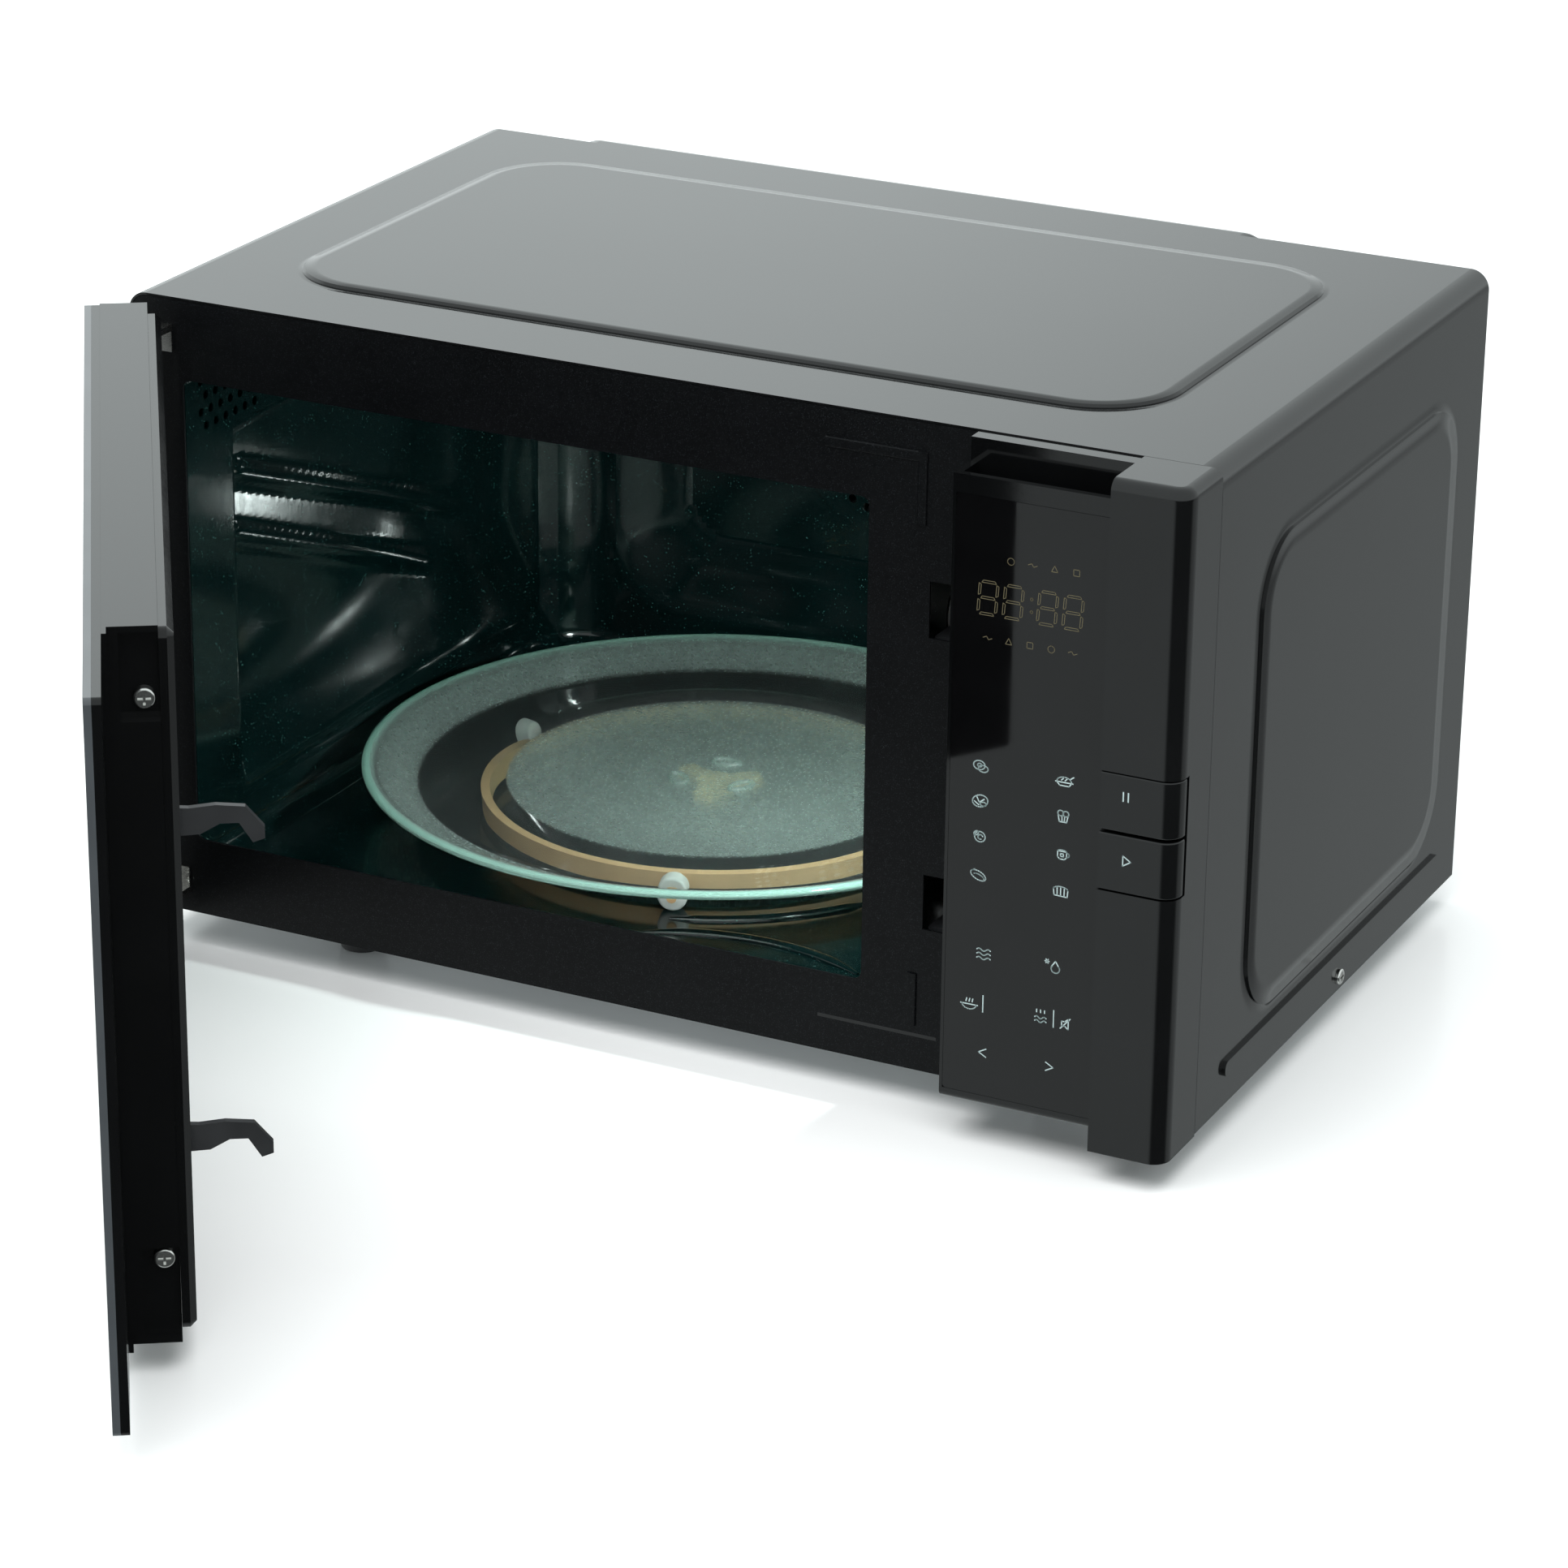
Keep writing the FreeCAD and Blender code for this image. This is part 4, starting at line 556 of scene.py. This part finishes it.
def pressed_skin(name, columns, rows, depth, point):
    """Smooth skin over a pressed part of the cavity wall; it leaves out what lies outside the pressing."""
    points, faces, raw = [], [], []
    for u in columns:
        for v in rows:
            raw.append(depth(u, v))
            points.append(point(u, v, soft_lip(raw[-1])) - at(0, 0, 0))
    count = len(rows)
    for i in range(len(columns) - 1):
        for j in range(count - 1):
            corners = [i * count + j, (i + 1) * count + j, (i + 1) * count + j + 1, i * count + j + 1]
            if max(raw[c] for c in corners) > -2.5 and min(raw[c] for c in corners) < 90.0:
                faces.append(corners)
    piece_of(name, points, faces, "cavity_enamel", "cabinet", at(0, 0, 0), smooth=True)


def steps(low, high, step):
    """Evenly spaced numbers from low to high, about one step apart."""
    count = round((high - low) / step)
    return [low + (high - low) * i / count for i in range(count + 1)]


def from_segment(y, z, start, end):
    """Distance of a point of the wall from the segment between start and end."""
    run, here = Vector(end) - Vector(start), Vector((y, z)) - Vector(start)
    share = min(max(run.dot(here) / run.dot(run), 0.0), 1.0)
    return (here - run * share).length


def left_pocket():
    """Deep pocket of the left wall: sloping ledge, swept rear end and two slanting beads."""
    deep, ledge_z, ledge_high, top_z = 18.0, 48.0, 38.0, 223.6
    front_y, rear_y, rear_radius = 39.2, 280.0, 50.0

    def depth(y, z):
        swept = deep
        if y > rear_y:
            swept = deep - (rear_radius - math.sqrt(max(rear_radius ** 2 - (y - rear_y) ** 2, 0.0)))
        found = soft_min(deep, swept, 3.0)
        found = soft_min(found, (z - ledge_z) * deep / ledge_high, 13.0)
        found = soft_min(found, (top_z - z) * 1.875, 5.0)
        found = soft_min(found, (y - front_y) * 2.4, 5.0)
        for start, end in (((66.0, 190.5), (262.0, 116.5)), ((62.0, 162.5), (231.0, 96.5))):
            near = min(max((6.5 - from_segment(y, z, start, end)) / 4.1, 0.0), 1.0)
            found -= 2.6 * near * near * (3.0 - 2.0 * near)
        return found

    pressed_skin("left_pocket_skin", steps(36.0, 324.0, 2.4), steps(42.0, 228.0, 2.4), depth,
                 lambda y, z, d: at(CAVITY_LEFT - d, y, z))


def rear_recess():
    """Sloping border of the back wall's recess."""
    middle, half, radius, tighter, slope, deep = (203.0, 148.0), (146.0, 98.0), 42.0, 18.0, 30.0, 14.0

    def inset_at(x, z):
        low, high = 0.0, 1.3
        for _ in range(12):
            share = (low + high) / 2.0
            corner = radius - tighter * share
            u = abs(x - middle[0]) - (half[0] - slope * share - corner)
            v = abs(z - middle[1]) - (half[1] - slope * share - corner)
            away = math.hypot(max(u, 0.0), max(v, 0.0)) + min(max(u, v), 0.0) - corner
            low, high = (share, high) if away < 0.0 else (low, share)
        edge = math.hypot(max(abs(x - middle[0]) - (half[0] - radius), 0.0),
                          max(abs(z - middle[1]) - (half[1] - radius), 0.0)) - radius
        return low if edge < 0.0 else -edge / slope

    def depth(x, z):
        share = inset_at(x, z)
        return 99.0 if share > 1.29 else soft_min(deep * share, deep, 6.0)

    pressed_skin("rear_recess_skin", steps(50.0, 356.0, 2.6), steps(43.0, 253.0, 2.6), depth,
                 lambda x, z, d: at(x, CAVITY_BACK + (d if d < 50.0 else 13.8), z))


def floor_beads():
    """Two curved beads pressed up from the floor in front of the roller track."""
    for number, line in enumerate((arc(TABLE, (127.0, 127.0), -72.0, -30.0, 24),
                                   [(240.0 + 104.0 * t, 27.0 + 50.0 * t * (1.0 - t) * 1.1 + 3.0 * t)
                                    for t in (i / 20.0 for i in range(21))])):
        points, faces, sides = [], [], 9
        for i, here in enumerate(line):
            ahead, behind = line[min(i + 1, len(line) - 1)], line[max(i - 1, 0)]
            run = (Vector(ahead) - Vector(behind)).normalized()
            taper = min(1.0, 0.35 + 0.22 * min(i, len(line) - 1 - i))
            for k in range(sides):
                a = math.pi * k / (sides - 1)
                side = Vector((-run.y, run.x)) * 3.4 * taper * math.cos(a)
                lift = FLOOR_Z - 0.1 + 2.2 * taper * math.sin(a)
                points.append(at(here[0] + side.x, here[1] + side.y, lift) - at(0, 0, 0))
        for i in range(len(line) - 1):
            for k in range(sides - 1):
                faces.append((i * sides + k, i * sides + k + 1, (i + 1) * sides + k + 1, (i + 1) * sides + k))
        piece_of("floor_bead_%d" % (number + 1), points, faces, "cavity_enamel", "cabinet",
                 at(0, 0, 0), smooth=True)


left_pocket()
rear_recess()
printed("front_groove", [[(340.0, 17.5), (395.0, 17.5)]], 1.6, "satin_black", "cabinet",
        -THIN_INK)
floor_beads()
glass_turntable()
touch_marks()
display_marks()
button_marks()

# ---------------------------------------------------------------- studio
CAMERA_AT, CAMERA_TO, CAMERA_ROLL = (1239.3, -1855.2, 955.7), (304.6, 29.4, 110.3), 0.0115
CAMERA_LENS, CAMERA_SENSOR, CAMERA_SHIFT = 121.0, 36.0, (0.0039, -0.0048)


def camera():
    """Long lens, above and to the right of the front."""
    data = bpy.data.cameras.new("camera")
    data.lens, data.sensor_width = CAMERA_LENS, CAMERA_SENSOR
    data.shift_x, data.shift_y = CAMERA_SHIFT
    data.clip_start, data.clip_end = 0.05, 60.0
    eye = bpy.data.objects.new("camera", data)
    bpy.context.scene.collection.objects.link(eye)
    forward = (at(*CAMERA_TO) - at(*CAMERA_AT)).normalized()
    side = forward.cross(Vector((0, 0, 1))).normalized()
    above = side.cross(forward)
    right = math.cos(CAMERA_ROLL) * side + math.sin(CAMERA_ROLL) * above
    up = -math.sin(CAMERA_ROLL) * side + math.cos(CAMERA_ROLL) * above
    eye.matrix_world = Matrix((right, up, -forward)).transposed().to_4x4()
    eye.location = at(*CAMERA_AT)
    bpy.context.scene.camera = eye


def studio_world():
    """White room: brightest behind on the left, dimmer towards the floor on the right."""
    world = bpy.data.worlds.new("studio")
    world.use_nodes = True
    bpy.context.scene.world = world
    nodes, links = world.node_tree.nodes, world.node_tree.links
    place = nodes.new("ShaderNodeTexCoord").outputs["Generated"]
    split = nodes.new("ShaderNodeSeparateXYZ")
    links.new(place, split.inputs[0])

    def toward(direction):
        node = nodes.new("ShaderNodeVectorMath")
        node.operation = "DOT_PRODUCT"
        links.new(place, node.inputs[0])
        node.inputs[1].default_value = direction
        return node.outputs["Value"]

    def spread(value, low, high, to_low, to_high):
        node = nodes.new("ShaderNodeMapRange")
        node.interpolation_type = "SMOOTHSTEP"
        links.new(value, node.inputs["Value"])
        for key, number in (("From Min", low), ("From Max", high), ("To Min", to_low), ("To Max", to_high)):
            if isinstance(number, (int, float)):
                node.inputs[key].default_value = number
            else:
                links.new(number, node.inputs[key])
        return node.outputs[0]

    above = spread(toward((-0.90, 0.43, 0.0)), 0.62, 0.77, 1.0, 1.52)
    ahead = spread(toward((0.0, -1.0, 0.0)), -0.6, 0.5, 0.42, 0.70)
    below = spread(toward((0.8, -0.6, 0.0)), 0.42, 0.72, ahead, 0.06)
    strength = spread(split.outputs[2], -0.12, 0.06, below, above)
    links.new(strength, nodes["Background"].inputs["Strength"])
    nodes["Background"].inputs["Color"].default_value = (0.93, 1.0, 1.0, 1.0)


def floor():
    """White ground under the feet."""
    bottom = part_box("feet")[0].z
    bpy.ops.mesh.primitive_plane_add(size=24.0, location=(0.0, 2.0, bottom - 0.0002))
    piece = bpy.context.object
    piece.name = "floor"
    dress(piece, plain("floor", (0.86, 0.86, 0.86), 0.22, 0.01, 0.04, 3.0, 60.0, 0.002, seed=20.0))
    piece.visible_glossy = False


def lamp(name, place, to, size, watts, colour):
    """Square or oblong lamp, its size in millimetres, aimed at a point."""
    data = bpy.data.lights.new(name, "AREA")
    data.shape, data.size, data.size_y = "RECTANGLE", size[0] * MM, size[1] * MM
    data.energy, data.color = watts, colour
    light = bpy.data.objects.new(name, data)
    bpy.context.scene.collection.objects.link(light)
    light.location = place
    light.rotation_euler = (to - place).to_track_quat("-Z", "Y").to_euler()
    return light


camera()
studio_world()
floor()
lamp("cavity_light", at(371.0, 60.0, 200.0), at(190.0, 230.0, 60.0), (22.0, 22.0), 1.7, (0.86, 1.0, 0.97))
soft_box = lamp("soft_box", at(200.0, -500.0, 2000.0), at(200.0, -200.0, 0.0), (2600.0, 2600.0), 70.0,
                (1.0, 1.0, 1.0))
soft_box.visible_glossy = False
bpy.context.scene.view_settings.view_transform = "Standard"
